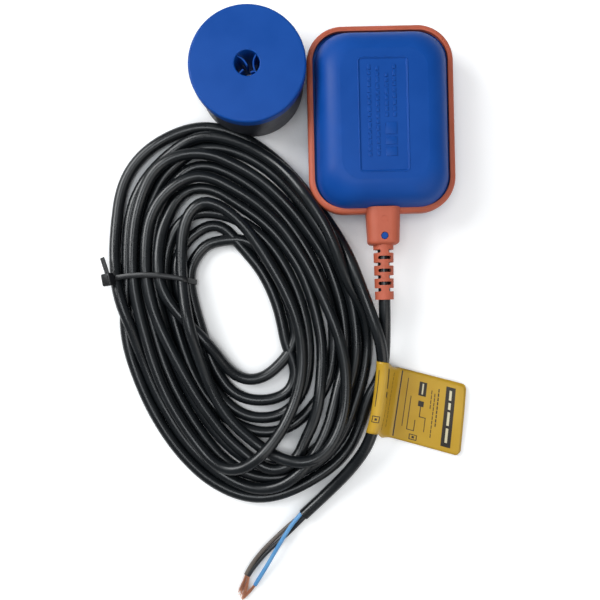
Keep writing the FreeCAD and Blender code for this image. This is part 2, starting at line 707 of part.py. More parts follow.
def screws(label, places, head_under, length):
    """Pan-head screws with a slot, all alike, as one group."""
    made = []
    for x, y in places:
        shank = rod("screw_radius", x, y, f"{head_under} - ({length})", length)
        head = rod("screw_head_radius", x, y, head_under, "screw_head_height")
        top = f"{head_under} + screw_head_height"
        half_slot = "screw_slot_width / 2"
        reach = "screw_head_radius + cut_over"
        slot = block(
            f"{x} - {reach}", f"{x} + {reach}", f"{y} - {half_slot}", f"{y} + {half_slot}",
            f"{top} - screw_slot_depth", f"{top} + cut_over",
        )
        made.append(cut(fuse(head, shank), slot))
    group = doc.addObject("Part::Compound", label)
    group.Links = made
    keep(group, label)


# Where the cable enters the float
inner_end = f"{CLAMP_TO} + cable_stub"
end_length = f"{CABLE_EXIT} + {inner_end}"
keep(rod("cable_radius", "0", f"-({CABLE_EXIT})", MIDDLE, end_length, "y"), "float_cable_end")
half_clamp = "clamp_width / 2"
clamp_block = block(f"-{half_clamp}", half_clamp, CLAMP_FROM, CLAMP_TO, CLAMP_UNDER, CLAMP_TOP)
groove_from = f"{CLAMP_FROM} - cut_over"
clamp_groove = rod("cable_radius + fit_gap", "0", groove_from, MIDDLE, "clamp_length + 2 * cut_over", "y")
clamp_bores = [rod("clear_hole_radius", x, y, MIDDLE, f"{CLAMP_TOP} + cut_over") for x, y in CLAMP_SCREWS]
keep(cut(clamp_block, clamp_groove, *clamp_bores), "cable_clamp")
screws("clamp_screws", CLAMP_SCREWS, CLAMP_TOP, "clamp_height + thread_hole_depth")


# The mechanism: a ball race and the switch's seat in one moulding
def mechanism_carrier():
    """A channel for the ball with a seat for the switch at its open end."""
    outer = f"{RACE_HALF} + race_wall"
    far = "race_far_end + race_wall"
    channel = block(f"-({outer})", outer, "-seat_end", far, SEAT_UNDER, RACE_TOP)
    seat = block("-seat_width / 2", "seat_width / 2", "-seat_reach", "seat_end", SEAT_UNDER, SEAT_TOP)
    pillar_height = f"{RACE_TOP} - ({SEAT_UNDER})"
    pillars = [rod("post_radius", x, y, SEAT_UNDER, pillar_height) for x, y in MECHANISM_SCREWS]
    boss_height = f"{SWITCH_UNDER} - ({SEAT_UNDER})"
    bosses = [rod("switch_boss_radius", x, y, SEAT_UNDER, boss_height) for x, y in SWITCH_SCREWS]
    rib_from = f"{SWITCH_BACK} + rib_inset"
    rib_to = f"{rib_from} + rib_thickness"
    rib = block("-rib_width / 2", "rib_width / 2", rib_from, rib_to, SEAT_UNDER, SWITCH_UNDER)
    room_top = f"{RACE_TOP} + cut_over"
    room = block(f"-{RACE_HALF}", RACE_HALF, "-seat_end - cut_over", "race_far_end", SEAT_TOP, room_top)
    bores = [rod("clear_hole_radius", x, y, "0", room_top) for x, y in MECHANISM_SCREWS]
    bites = [rod("thread_hole_radius", x, y, "0", SWITCH_TOP) for x, y in SWITCH_SCREWS]
    return cut(fuse(channel, seat, *pillars, *bosses, rib), room, *bores, *bites)


keep(mechanism_carrier(), "mechanism_carrier")
cover_half = f"{RACE_HALF} + race_wall"
cover_far = "race_far_end + race_wall"
cover_plate = block(f"-({cover_half})", cover_half, "-seat_end", cover_far, RACE_TOP, LID_TOP)
cover_ears = [rod("post_radius", x, y, RACE_TOP, "race_lid") for x, y in MECHANISM_SCREWS]
cover_bores = [rod("clear_hole_radius", x, y, MIDDLE, MIDDLE) for x, y in MECHANISM_SCREWS]
keep(cut(fuse(cover_plate, *cover_ears), *cover_bores), "race_cover")
mechanism_shank = f"{LID_TOP} - ({SEAT_UNDER}) + thread_hole_depth - screw_end_gap"
screws("mechanism_screws", MECHANISM_SCREWS, LID_TOP, mechanism_shank)
ball = doc.addObject("Part::Sphere", "steel_ball")
ball.setExpression("Radius", bound("ball_radius"))
ball.setExpression("Placement.Base.y", bound("race_far_end - ball_gap - ball_radius"))
ball.setExpression("Placement.Base.z", bound(MIDDLE))
keep(ball, "steel_ball")


# The microswitch
def microswitch_case():
    """A tray with a lug for the lever, screw bosses, a button hole and slots for three terminals."""
    half = "switch_width / 2"
    lid_under = f"{SWITCH_TOP} - switch_wall"
    outside = block(f"-{half}", half, SWITCH_BACK, "-switch_face", SWITCH_UNDER, lid_under)
    hollow = block(
        f"-{half} + switch_wall", f"{half} - switch_wall", f"{SWITCH_BACK} + switch_wall",
        "-switch_face - switch_wall", f"{SWITCH_UNDER} + switch_wall", SWITCH_TOP,
    )
    boss_height = f"{lid_under} - ({SWITCH_UNDER})"
    bosses = [rod("switch_boss_radius", x, y, SWITCH_UNDER, boss_height) for x, y in SWITCH_SCREWS]
    half_lug = "lug_width / 2"
    lug = block(
        f"hinge_aside - {half_lug}", f"hinge_aside + {half_lug}", "-switch_face - switch_wall / 2", HINGE_Y,
        f"{MIDDLE} - lug_height / 2", f"{MIDDLE} + lug_height / 2",
    )
    lug_end = rod(half_lug, "hinge_aside", HINGE_Y, f"{MIDDLE} - lug_height / 2", "lug_height")
    tray = fuse(cut(outside, hollow), *bosses, lug, lug_end)
    bores = [rod("clear_hole_radius", x, y, "0", "float_depth") for x, y in SWITCH_SCREWS]
    pin_bore = rod("lever_pin_radius", "hinge_aside", HINGE_Y, "0", "float_depth")
    bore_from = "-switch_face - switch_wall - cut_over"
    bore_length = "switch_wall + 2 * cut_over"
    button_bore = rod("button_radius + button_gap", "button_place", bore_from, MIDDLE, bore_length, "y")
    tabs = ("blade_pivot_aside", "-contact_place", "-closed_terminal_place")
    slots = [terminal_tab(x, "-switch_face") for x in tabs]
    wall_slots = doc.addObject("Part::MultiCommon", "WallSlots")
    wall_from = f"{SWITCH_BACK} - cut_over"
    wall_to = f"{SWITCH_BACK} + switch_wall + fit_gap"
    back_wall = block(f"-{half}", half, wall_from, wall_to, SWITCH_UNDER, SWITCH_TOP)
    wall_slots.Shapes = [fuse(*slots), back_wall]
    return cut(tray, *bores, pin_bore, button_bore, wall_slots)


def terminal_tab(x, y_to):
    """A terminal's flat tab from outside the switch up to a given place."""
    half = "terminal_thickness / 2"
    half_width = "terminal_width / 2"
    y_from = f"{SWITCH_BACK} - terminal_reach"
    low = f"{MIDDLE} - {half_width}"
    high = f"{MIDDLE} + {half_width}"
    return block(f"{x} - {half}", f"{x} + {half}", y_from, y_to, low, high)


keep(microswitch_case(), "microswitch_case")
half_switch = "switch_width / 2"
switch_lid_under = f"{SWITCH_TOP} - switch_wall"
lid = block(f"-{half_switch}", half_switch, SWITCH_BACK, "-switch_face", switch_lid_under, SWITCH_TOP)
lid_bores = [rod("clear_hole_radius", x, y, "0", "float_depth") for x, y in SWITCH_SCREWS]
keep(cut(lid, *lid_bores), "microswitch_cover")
screws("microswitch_screws", SWITCH_SCREWS, SWITCH_TOP, f"{SWITCH_TOP} - ({SEAT_UNDER}) - screw_end_gap")

blade_low = f"{BLADE_Y} - blade_thickness / 2"
blade_high = f"{BLADE_Y} + blade_thickness / 2"
keep(terminal_tab("blade_pivot_aside", f"{blade_low} - contact_gap"), "common_terminal")
open_face = f"{blade_low} - blade_swing"
open_root = f"{open_face} - contact_height"
open_contact = rod("contact_radius", "-contact_place", open_root, MIDDLE, "contact_height", "y")
keep(fuse(terminal_tab("-contact_place", open_root), open_contact), "open_terminal")
closed_face = f"{blade_high} + contact_gap"
arm_from = f"{closed_face} + contact_height"
arm_to = f"{arm_from} + terminal_thickness"
half_tab = "terminal_thickness / 2"
half_width = "terminal_width / 2"
arm = block(
    f"-closed_terminal_place - {half_tab}", "-contact_place + contact_radius", arm_from, arm_to,
    f"{MIDDLE} - {half_width}", f"{MIDDLE} + {half_width}",
)
closed_contact = rod("contact_radius", "-contact_place", closed_face, MIDDLE, "contact_height", "y")
keep(fuse(terminal_tab("-closed_terminal_place", arm_to), arm, closed_contact), "closed_terminal")
half_blade = "blade_width / 2"
blade_under = f"{MIDDLE} - {half_blade}"
blade_over = f"{MIDDLE} + {half_blade}"
blade = block("-blade_tip", "blade_pivot_aside", blade_low, blade_high, blade_under, blade_over)
blade_roll = rod("blade_roll_radius", "blade_pivot_aside", BLADE_Y, blade_under, "blade_width")
keep(fuse(blade, blade_roll), "contact_blade")

# The button: head, flange that keeps it in, and stem down to the blade
flange_top = "-switch_face - switch_wall - button_gap"
flange_low = f"{flange_top} - button_flange_height"
stem_low = f"{blade_high} + button_play"
head_length = f"{LEVER_INNER} - button_play - ({flange_top})"
button_head = rod("button_radius", "button_place", flange_top, MIDDLE, head_length, "y")
button_flange = rod("button_flange_radius", "button_place", flange_low, MIDDLE, "button_flange_height", "y")
button_stem = rod("stem_radius", "button_place", stem_low, MIDDLE, f"{flange_low} - ({stem_low})", "y")
keep(fuse(button_head, button_flange, button_stem), "switch_button")


def lever():
    """A sheet lever with two eyes either side of the lug."""
    low = f"{MIDDLE} - lever_width / 2"
    high = f"{MIDDLE} + lever_width / 2"
    outer = f"{LEVER_INNER} + lever_thickness"
    strip = block("-lever_tip", "lever_root", LEVER_INNER, outer, low, high)
    eye_height = "(lever_width - lug_height) / 2 - lug_gap"
    parts = [strip]
    for z in (low, f"{high} - ({eye_height})"):
        eye_top = f"{z} + {eye_height}"
        parts.append(block("lever_root - lug_gap", "hinge_aside", LEVER_INNER, outer, z, eye_top))
        parts.append(rod("lever_eye_radius", "hinge_aside", HINGE_Y, z, eye_height))
    bore = rod("lever_pin_radius + lever_pin_gap", "hinge_aside", HINGE_Y, "0", "float_depth")
    return cut(fuse(*parts), bore)


keep(lever(), "lever")
pin_length = "lever_width + 2 * lever_pin_stand"
pin_under = f"{MIDDLE} - ({pin_length}) / 2"
keep(rod("lever_pin_radius", "hinge_aside", HINGE_Y, pin_under, pin_length), "lever_pin")


# Counterweight
def weight_sketch(body, z):
    """A sketch on the counterweight's axis at a height."""
    return sketch(body, "XY", z, across="weight_across", up="weight_along")


def counterweight_cap():
    """Lid with a skirt, a sleeve round the cable hole and grip fingers in it."""
    body = doc.addObject("PartDesign::Body", "counterweight_cap")
    keep(body, "counterweight_cap")
    lid_under = "weight_height - cap_lid"
    disc = weight_sketch(body, "weight_height")
    circle(disc, "cap_radius")
    pad(body, disc, "cap_height", reverse=True)
    top = number("weight_height")
    fillet(body, "cap_round", lambda edge: level(edge, top))
    room = weight_sketch(body, lid_under)
    circle(room, "weight_radius + fit_gap")
    pocket(body, room, "cap_height")
    sleeve = weight_sketch(body, "sleeve_rise")
    circle(sleeve, "hole_radius + sleeve_wall")
    pad(body, sleeve, f"{lid_under} - sleeve_rise + cap_lid / 2")
    hole = weight_sketch(body, "weight_height")
    circle(hole, "hole_radius")
    pocket(body, hole, "weight_height")
    rim = 2 * math.pi * number("hole_radius")
    fillet(body, "hole_round", lambda edge: level(edge, top) and abs(edge.Length - rim) < 0.1)
    finger_top = "weight_height - finger_drop"
    finger = weight_sketch(body, finger_top)
    for wall, middle, tip in FINGERS:
        bent_strip(finger, wall, middle, tip, number("finger_thickness"))
    pad(body, finger, "finger_height", reverse=True)
    return body


def bent_strip(drawing, first, middle, last, thickness):
    """The outline of a strip along the arc through three points, such as a grip finger."""
    arc = Part.Circle(Vector(*first, 0), Vector(*middle, 0), Vector(*last, 0))
    centre = Vector(arc.Center.x, arc.Center.y, 0)
    turns = []
    for point in (first, middle, last):
        reach = Vector(*point, 0) - centre
        turns.append(math.atan2(reach.y, reach.x))
    low, between, high = turns
    if (between - low) % (2 * math.pi) > (high - low) % (2 * math.pi):
        low, high = high, low
    high = low + (high - low) % (2 * math.pi)
    ends = []
    for radius in (arc.Radius - thickness / 2, arc.Radius + thickness / 2):
        whole = Part.Circle(centre, Vector(0, 0, 1), radius)
        side = Part.ArcOfCircle(whole, low, high)
        index = drawing.addGeometry(side)
        ends.append((index, side.StartPoint, side.EndPoint))
    (inner, inner_start, inner_end), (outer, outer_start, outer_end) = ends
    start_line = drawing.addGeometry(Part.LineSegment(inner_start, outer_start))
    end_line = drawing.addGeometry(Part.LineSegment(inner_end, outer_end))
    for line, point in ((start_line, 1), (end_line, 2)):
        drawing.addConstraint(Sketcher.Constraint("Coincident", line, 1, inner, point))
        drawing.addConstraint(Sketcher.Constraint("Coincident", line, 2, outer, point))


def counterweight_body():
    """Cup with a tube round the cap's sleeve."""
    body = doc.addObject("PartDesign::Body", "counterweight_body")
    keep(body, "counterweight_body")
    disc = weight_sketch(body, "0")
    circle(disc, "weight_radius")
    pad(body, disc, "weight_height - cap_lid")
    fillet(body, "cap_round", lambda edge: level(edge, 0.0))
    tube = "hole_radius + sleeve_wall + fit_gap"
    ring = weight_sketch(body, "weight_height - cap_lid")
    circle(ring, "weight_radius - weight_wall")
    circle(ring, f"{tube} + weight_wall")
    pocket(body, ring, "weight_height - cap_lid - weight_wall")
    hole = weight_sketch(body, "weight_height")
    circle(hole, tube)
    pocket(body, hole, "weight_height + cut_over")
    return body


def ballast_ring():
    """The heavy ring in the cup."""
    body = doc.addObject("PartDesign::Body", "ballast_ring")
    keep(body, "ballast_ring")
    ring = weight_sketch(body, "weight_wall")
    circle(ring, "weight_radius - weight_wall - ballast_gap")
    circle(ring, "hole_radius + sleeve_wall + fit_gap + weight_wall + ballast_gap")
    pad(body, ring, "ballast_height")
    return body


counterweight_cap()
counterweight_body()
ballast_ring()


# Cable
def tube(label, route, radius):
    """A round tube along straight runs joined by tangent arcs."""
    points = [Vector(*point) for point in route]
    edges = []
    start = points[0]
    radii = []
    for before, corner, after in zip(points, points[1:], points[2:]):
        come = (corner - before).normalize()
        go = (after - corner).normalize()
        half_turn = come.getAngle(go) / 2
        trim = ARC_SHARE * min((corner - before).Length, (after - corner).Length)
        arc_radius = trim / math.tan(half_turn)
        inward = (go - come).normalize()
        centre = corner + inward * (arc_radius / math.cos(half_turn))
        first = corner - come * trim
        last = corner + go * trim
        edges.append(Part.LineSegment(start, first).toShape())
        edges.append(Part.Arc(first, centre - inward * arc_radius, last).toShape())
        radii.append(round(arc_radius, 1))
        start = last
    edges.append(Part.LineSegment(start, points[-1]).toShape())
    path = Part.Wire(edges)
    section = Part.Wire(Part.makeCircle(radius, points[0], points[1] - points[0]))
    shape = path.makePipeShell([section], True, False)
    length = path.Length
    expected = math.pi * radius**2 * length
    share = shape.Volume / expected
    print(f"{label}: {length:.1f} mm long, bend radii {radii}, volume {share:.4f} of section times length")
    return solid(label, shape)


def coil():
    """The outer shape of the cable's turns, with a notch below for the tie's strap."""
    wires = []
    for outline in (COIL_OUTER, COIL_INNER):
        curve = Part.BSplineCurve()
        curve.interpolate([Vector(x, y, 0) for x, y in outline], PeriodicFlag=True)
        wires.append(Part.Wire(curve.toShape()))
    ring = Part.Face(wires[0]).cut(Part.Face(wires[1]))
    block_of_turns = ring.extrude(Vector(0, 0, number("coil_height")))
    flat_edges = [edge for edge in block_of_turns.Edges if edge.BoundBox.ZLength < 0.01]
    rounded = block_of_turns.makeFillet(number("coil_round"), flat_edges)
    notch_width = number("tie_width + 2 * tie_top_gap")
    notch_length = number("tie_right - tie_left")
    notch_height = number("tie_thickness + tie_top_gap")
    corner = Vector(number("tie_left"), number("tie_along") - notch_width / 2, 0)
    notch = Part.makeBox(notch_length, notch_width, notch_height, corner)
    return solid("cable_coil", rounded.cut(notch).Solids[0])


cable = number("cable_radius")
core = number("core_radius")
strand = number("strand_radius")
tube("cable_lead", LEAD_ROUTE, cable)
coil()
tube("cable_tail", TAIL_ROUTE, cable)
for colour, route in (("blue", BLUE_ROUTE), ("black", BLACK_ROUTE), ("brown", BROWN_ROUTE)):
    tube(colour + "_core", route, core)
    end = Vector(*route[-1])
    ahead = end - Vector(*route[-2])
    solid(colour + "_strands", Part.makeCylinder(strand, number("strand_length"), end, ahead))

# The cores inside the float, from the sheath's end to the terminals
sheath_end = number(inner_end)
tab_end = number(f"{SWITCH_BACK} - terminal_reach")
middle = number(MIDDLE)
INNER_LEADS = [
    ("inner_brown_lead", number("blade_pivot_aside"), 1.45, 0.85),
    ("inner_blue_lead", -number("contact_place"), 0.0, -2.0),
    ("inner_black_lead", -number("closed_terminal_place"), -1.45, 0.85),
]
for label, tab, aside, above in INNER_LEADS:
    gap = tab_end - sheath_end
    route = [
        (aside, sheath_end, middle + above),
        (aside, sheath_end + gap / 3, middle + above),
        (tab, tab_end - gap / 3, middle + above / 2),
        (tab, tab_end, middle + above / 2),
    ]
    tube(label, route, core)


# On the cable
def cable_tie():
    """A strap round all the turns, with its head and its cut-off tail."""
    body = doc.addObject("PartDesign::Body", "cable_tie")
    keep(body, "cable_tie")
    top = "coil_height + tie_top_gap + tie_thickness"
    loop = sketch(body, "XZ", "-tie_along", across="(tie_left + tie_right) / 2", up=f"({top}) / 2")
    rounded_rectangle(loop, "tie_right - tie_left", top, "tie_corner")
    inner = "2 * tie_thickness"
    corner = "tie_corner - tie_thickness"
    rounded_rectangle(loop, f"tie_right - tie_left - {inner}", f"{top} - {inner}", corner)
    pad(body, loop, "tie_width", both_ways=True)
    head_up = f"({top}) / 2 + tie_corner / 3"
    head = sketch(body, "YZ", "tie_left - tie_head_height / 2", across="tie_along", up=head_up)
    rounded_rectangle(head, "tie_head_width", "tie_head_length", "tie_head_corner")
    pad(body, head, "tie_head_height")
    tail_y = "tie_along + tie_head_width / 2 + tie_tail_length / 2 - tie_tail_root"
    tail = sketch(body, "XY", head_up, across="tie_left - tie_tail_aside", up=tail_y)
    tail.setExpression("AttachmentOffset.Rotation.Angle", bound("tie_tail_lean * 1 deg"))
    rounded_rectangle(tail, "tie_tail_width", "tie_tail_length + 2 * tie_tail_root", "tie_tail_corner")
    pad(body, tail, "tie_thickness", both_ways=True)
    return body


cable_tie()


def wiring_label():
    """A film flag: round the cable, down its right side and out flat to the right."""
    first = Vector(*TAIL_ROUTE[LABEL_RUN])
    second = Vector(*TAIL_ROUTE[LABEL_RUN + 1])
    along = (second - first).normalize()
    aside = Vector(-along.y, along.x, 0)
    if aside.x < 0:
        aside = aside * -1
    thickness = number("label_thickness")
    inner = number("cable_radius") + number("label_wrap_gap")
    outer = inner + thickness
    fall = math.radians(number("label_fall"))
    bend = number("label_bend")
    low = number("label_rise") - first.z
    reach = number("label_reach")

    def at(out, up):
        return Vector(out, up, 0)

    # The slope leaves the wrap along its tangent, so its normal points from the cable's axis
    slope = at(math.cos(fall), -math.sin(fall))
    normal = at(math.sin(fall), math.cos(fall))
    upper_start = normal * outer
    lower_start = normal * inner
    # The bend turns the slope level: its centre lies above both faces
    centre_up = low + bend + thickness
    travel = (normal.y * outer + bend * math.cos(fall) - centre_up) / math.sin(fall)
    centre = upper_start + slope * travel + normal * bend
    upper_foot = upper_start + slope * travel
    lower_foot = upper_foot - normal * thickness
    half = fall / 2
    toward = at(-math.sin(half), -math.cos(half))
    upper_mid = centre + toward * bend
    lower_mid = centre + toward * (bend + thickness)
    upper_flat = centre + at(0, -bend)
    lower_flat = centre + at(0, -bend - thickness)
    flag = Part.Wire([
        Part.LineSegment(lower_start, upper_start).toShape(),
        Part.LineSegment(upper_start, upper_foot).toShape(),
        Part.Arc(upper_foot, upper_mid, upper_flat).toShape(),
        Part.LineSegment(upper_flat, at(reach, upper_flat.y)).toShape(),
        Part.LineSegment(at(reach, upper_flat.y), at(reach, lower_flat.y)).toShape(),
        Part.LineSegment(at(reach, lower_flat.y), lower_flat).toShape(),
        Part.Arc(lower_flat, lower_mid, lower_foot).toShape(),
        Part.LineSegment(lower_foot, lower_start).toShape(),
    ])
    length = number("label_length")
    wrap = Part.makeCylinder(outer, length).cut(Part.makeCylinder(inner, length))
    shape = Part.Face(flag).extrude(Vector(0, 0, length)).fuse(wrap).removeSplitter().Solids[0]
    up = Vector(0, 0, 1)
    start = first + along * ((second - first).Length - length) / 2
    across_row = (aside.x, up.x, along.x, start.x)
    along_row = (aside.y, up.y, along.y, start.y)
    up_row = (aside.z, up.z, along.z, start.z)
    frame = FreeCAD.Matrix(*across_row, *along_row, *up_row, 0, 0, 0, 1)
    made = solid("wiring_label", shape)
    made.Placement = FreeCAD.Placement(frame)
    return made


wiring_label()

# Checks, then one file for each sub-part
doc.recompute()
for item in doc.Objects:
    if "Invalid" in item.State or "Error" in item.State:
        raise RuntimeError(f"{item.Label}: {item.State}")
for piece in pieces:
    if piece.Shape.isNull() or not piece.Shape.isValid():
        raise RuntimeError(f"{piece.Label}: no valid shape")
os.makedirs("parts", exist_ok=True)
for piece in pieces:
    piece.Shape.exportStep(f"parts/{piece.Label}.step")
    box = piece.Shape.BoundBox
    print(
        f"{piece.Label}: {len(piece.Shape.Solids)} solid, {piece.Shape.Volume / 1000:.2f} cm3,"
        f" x {box.XMin:.1f} {box.XMax:.1f}, y {box.YMin:.1f} {box.YMax:.1f}, z {box.ZMin:.1f} {box.ZMax:.1f}"
    )
print(len(pieces), "sub-parts")
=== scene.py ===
import math

import bmesh
import bpy
import numpy as np
from mathutils import Matrix, Vector
from mathutils.bvhtree import BVHTree


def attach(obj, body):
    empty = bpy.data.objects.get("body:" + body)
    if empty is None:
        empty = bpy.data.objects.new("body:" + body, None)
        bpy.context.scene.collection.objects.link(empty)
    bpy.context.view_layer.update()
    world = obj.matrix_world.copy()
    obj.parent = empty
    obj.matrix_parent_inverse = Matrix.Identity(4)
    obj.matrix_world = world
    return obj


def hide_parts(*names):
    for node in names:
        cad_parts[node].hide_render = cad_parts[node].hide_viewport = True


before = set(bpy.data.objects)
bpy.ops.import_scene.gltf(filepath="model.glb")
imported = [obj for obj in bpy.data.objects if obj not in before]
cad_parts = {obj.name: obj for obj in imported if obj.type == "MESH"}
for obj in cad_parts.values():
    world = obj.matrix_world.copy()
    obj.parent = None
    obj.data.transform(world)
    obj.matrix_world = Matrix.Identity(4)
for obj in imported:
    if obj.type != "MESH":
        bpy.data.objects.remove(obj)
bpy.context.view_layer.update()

MM = 0.001
METRE = 1000.0

# Camera, straight down on the row as in the photo, turned a little
CAMERA_HEIGHT = 400.0
FLOOR_SCALE = 0.6216
TURN = math.radians(1.3)
ROW_ACROSS = -47.5
ROW_UP = -105.8
PICTURE_MIDDLE = 300.0
SENSOR = 36.0
LENS = SENSOR * CAMERA_HEIGHT / (2 * PICTURE_MIDDLE * FLOOR_SCALE)
CLIP_NEAR = 0.01
CLIP_FAR = 10


def row(across, down, height):
    """A point of the photo, at a height over the floor in mm, in row millimetres."""
    scale = FLOOR_SCALE * (CAMERA_HEIGHT - height) / CAMERA_HEIGHT
    right = (across - PICTURE_MIDDLE) * scale + ROW_ACROSS
    up = (PICTURE_MIDDLE - down) * scale + ROW_UP
    x = right * math.cos(TURN) + up * math.sin(TURN)
    y = up * math.cos(TURN) - right * math.sin(TURN)
    return (x, y, height)


def new_thing(name, data):
    """A new object in the scene."""
    thing = bpy.data.objects.new(name, data)
    bpy.context.scene.collection.objects.link(thing)
    return thing


def set_camera():
    """Put the camera over the middle of the picture."""
    data = bpy.data.cameras.new("camera")
    camera = new_thing("camera", data)
    x, y, _ = row(PICTURE_MIDDLE, PICTURE_MIDDLE, 0)
    camera.location = (x * MM, y * MM, CAMERA_HEIGHT * MM)
    camera.rotation_euler = (0, 0, -TURN)
    data.sensor_fit = "HORIZONTAL"
    data.sensor_width = SENSOR
    data.lens = LENS
    data.clip_start = CLIP_NEAR
    data.clip_end = CLIP_FAR
    bpy.context.scene.camera = camera


set_camera()

# The cable and its cores, sizes in mm
CABLE_RADIUS = 3.5
CORE_RADIUS = 1.25
POINT_STEP = 3.5
CONTROL_EVERY = 3

# Routes of the source for the straight ends of the cable
LEAD = [
    (0.0, -105.6, 20.0),
    (0.0, -115.6, 20.0),
    (0.3, -126.0, 15.8),
    (0.7, -136.5, 10.2),
    (0.3, -147.0, 6.6),
    (-3.6, -157.6, 4.8),
    (-10.5, -167.0, 4.3),
]
TAIL = [
    (-17.9, -85.5, 19.0),
    (-10.0, -109.1, 22.0),
    (-3.5, -128.0, 22.4),
    (-0.4, -144.0, 16.4),
    (-7.3, -187.0, 15.6),
    (-20.0, -207.0, 9.6),
    (-35.3, -223.2, 4.0),
    (-50.8, -237.1, 3.5),
]

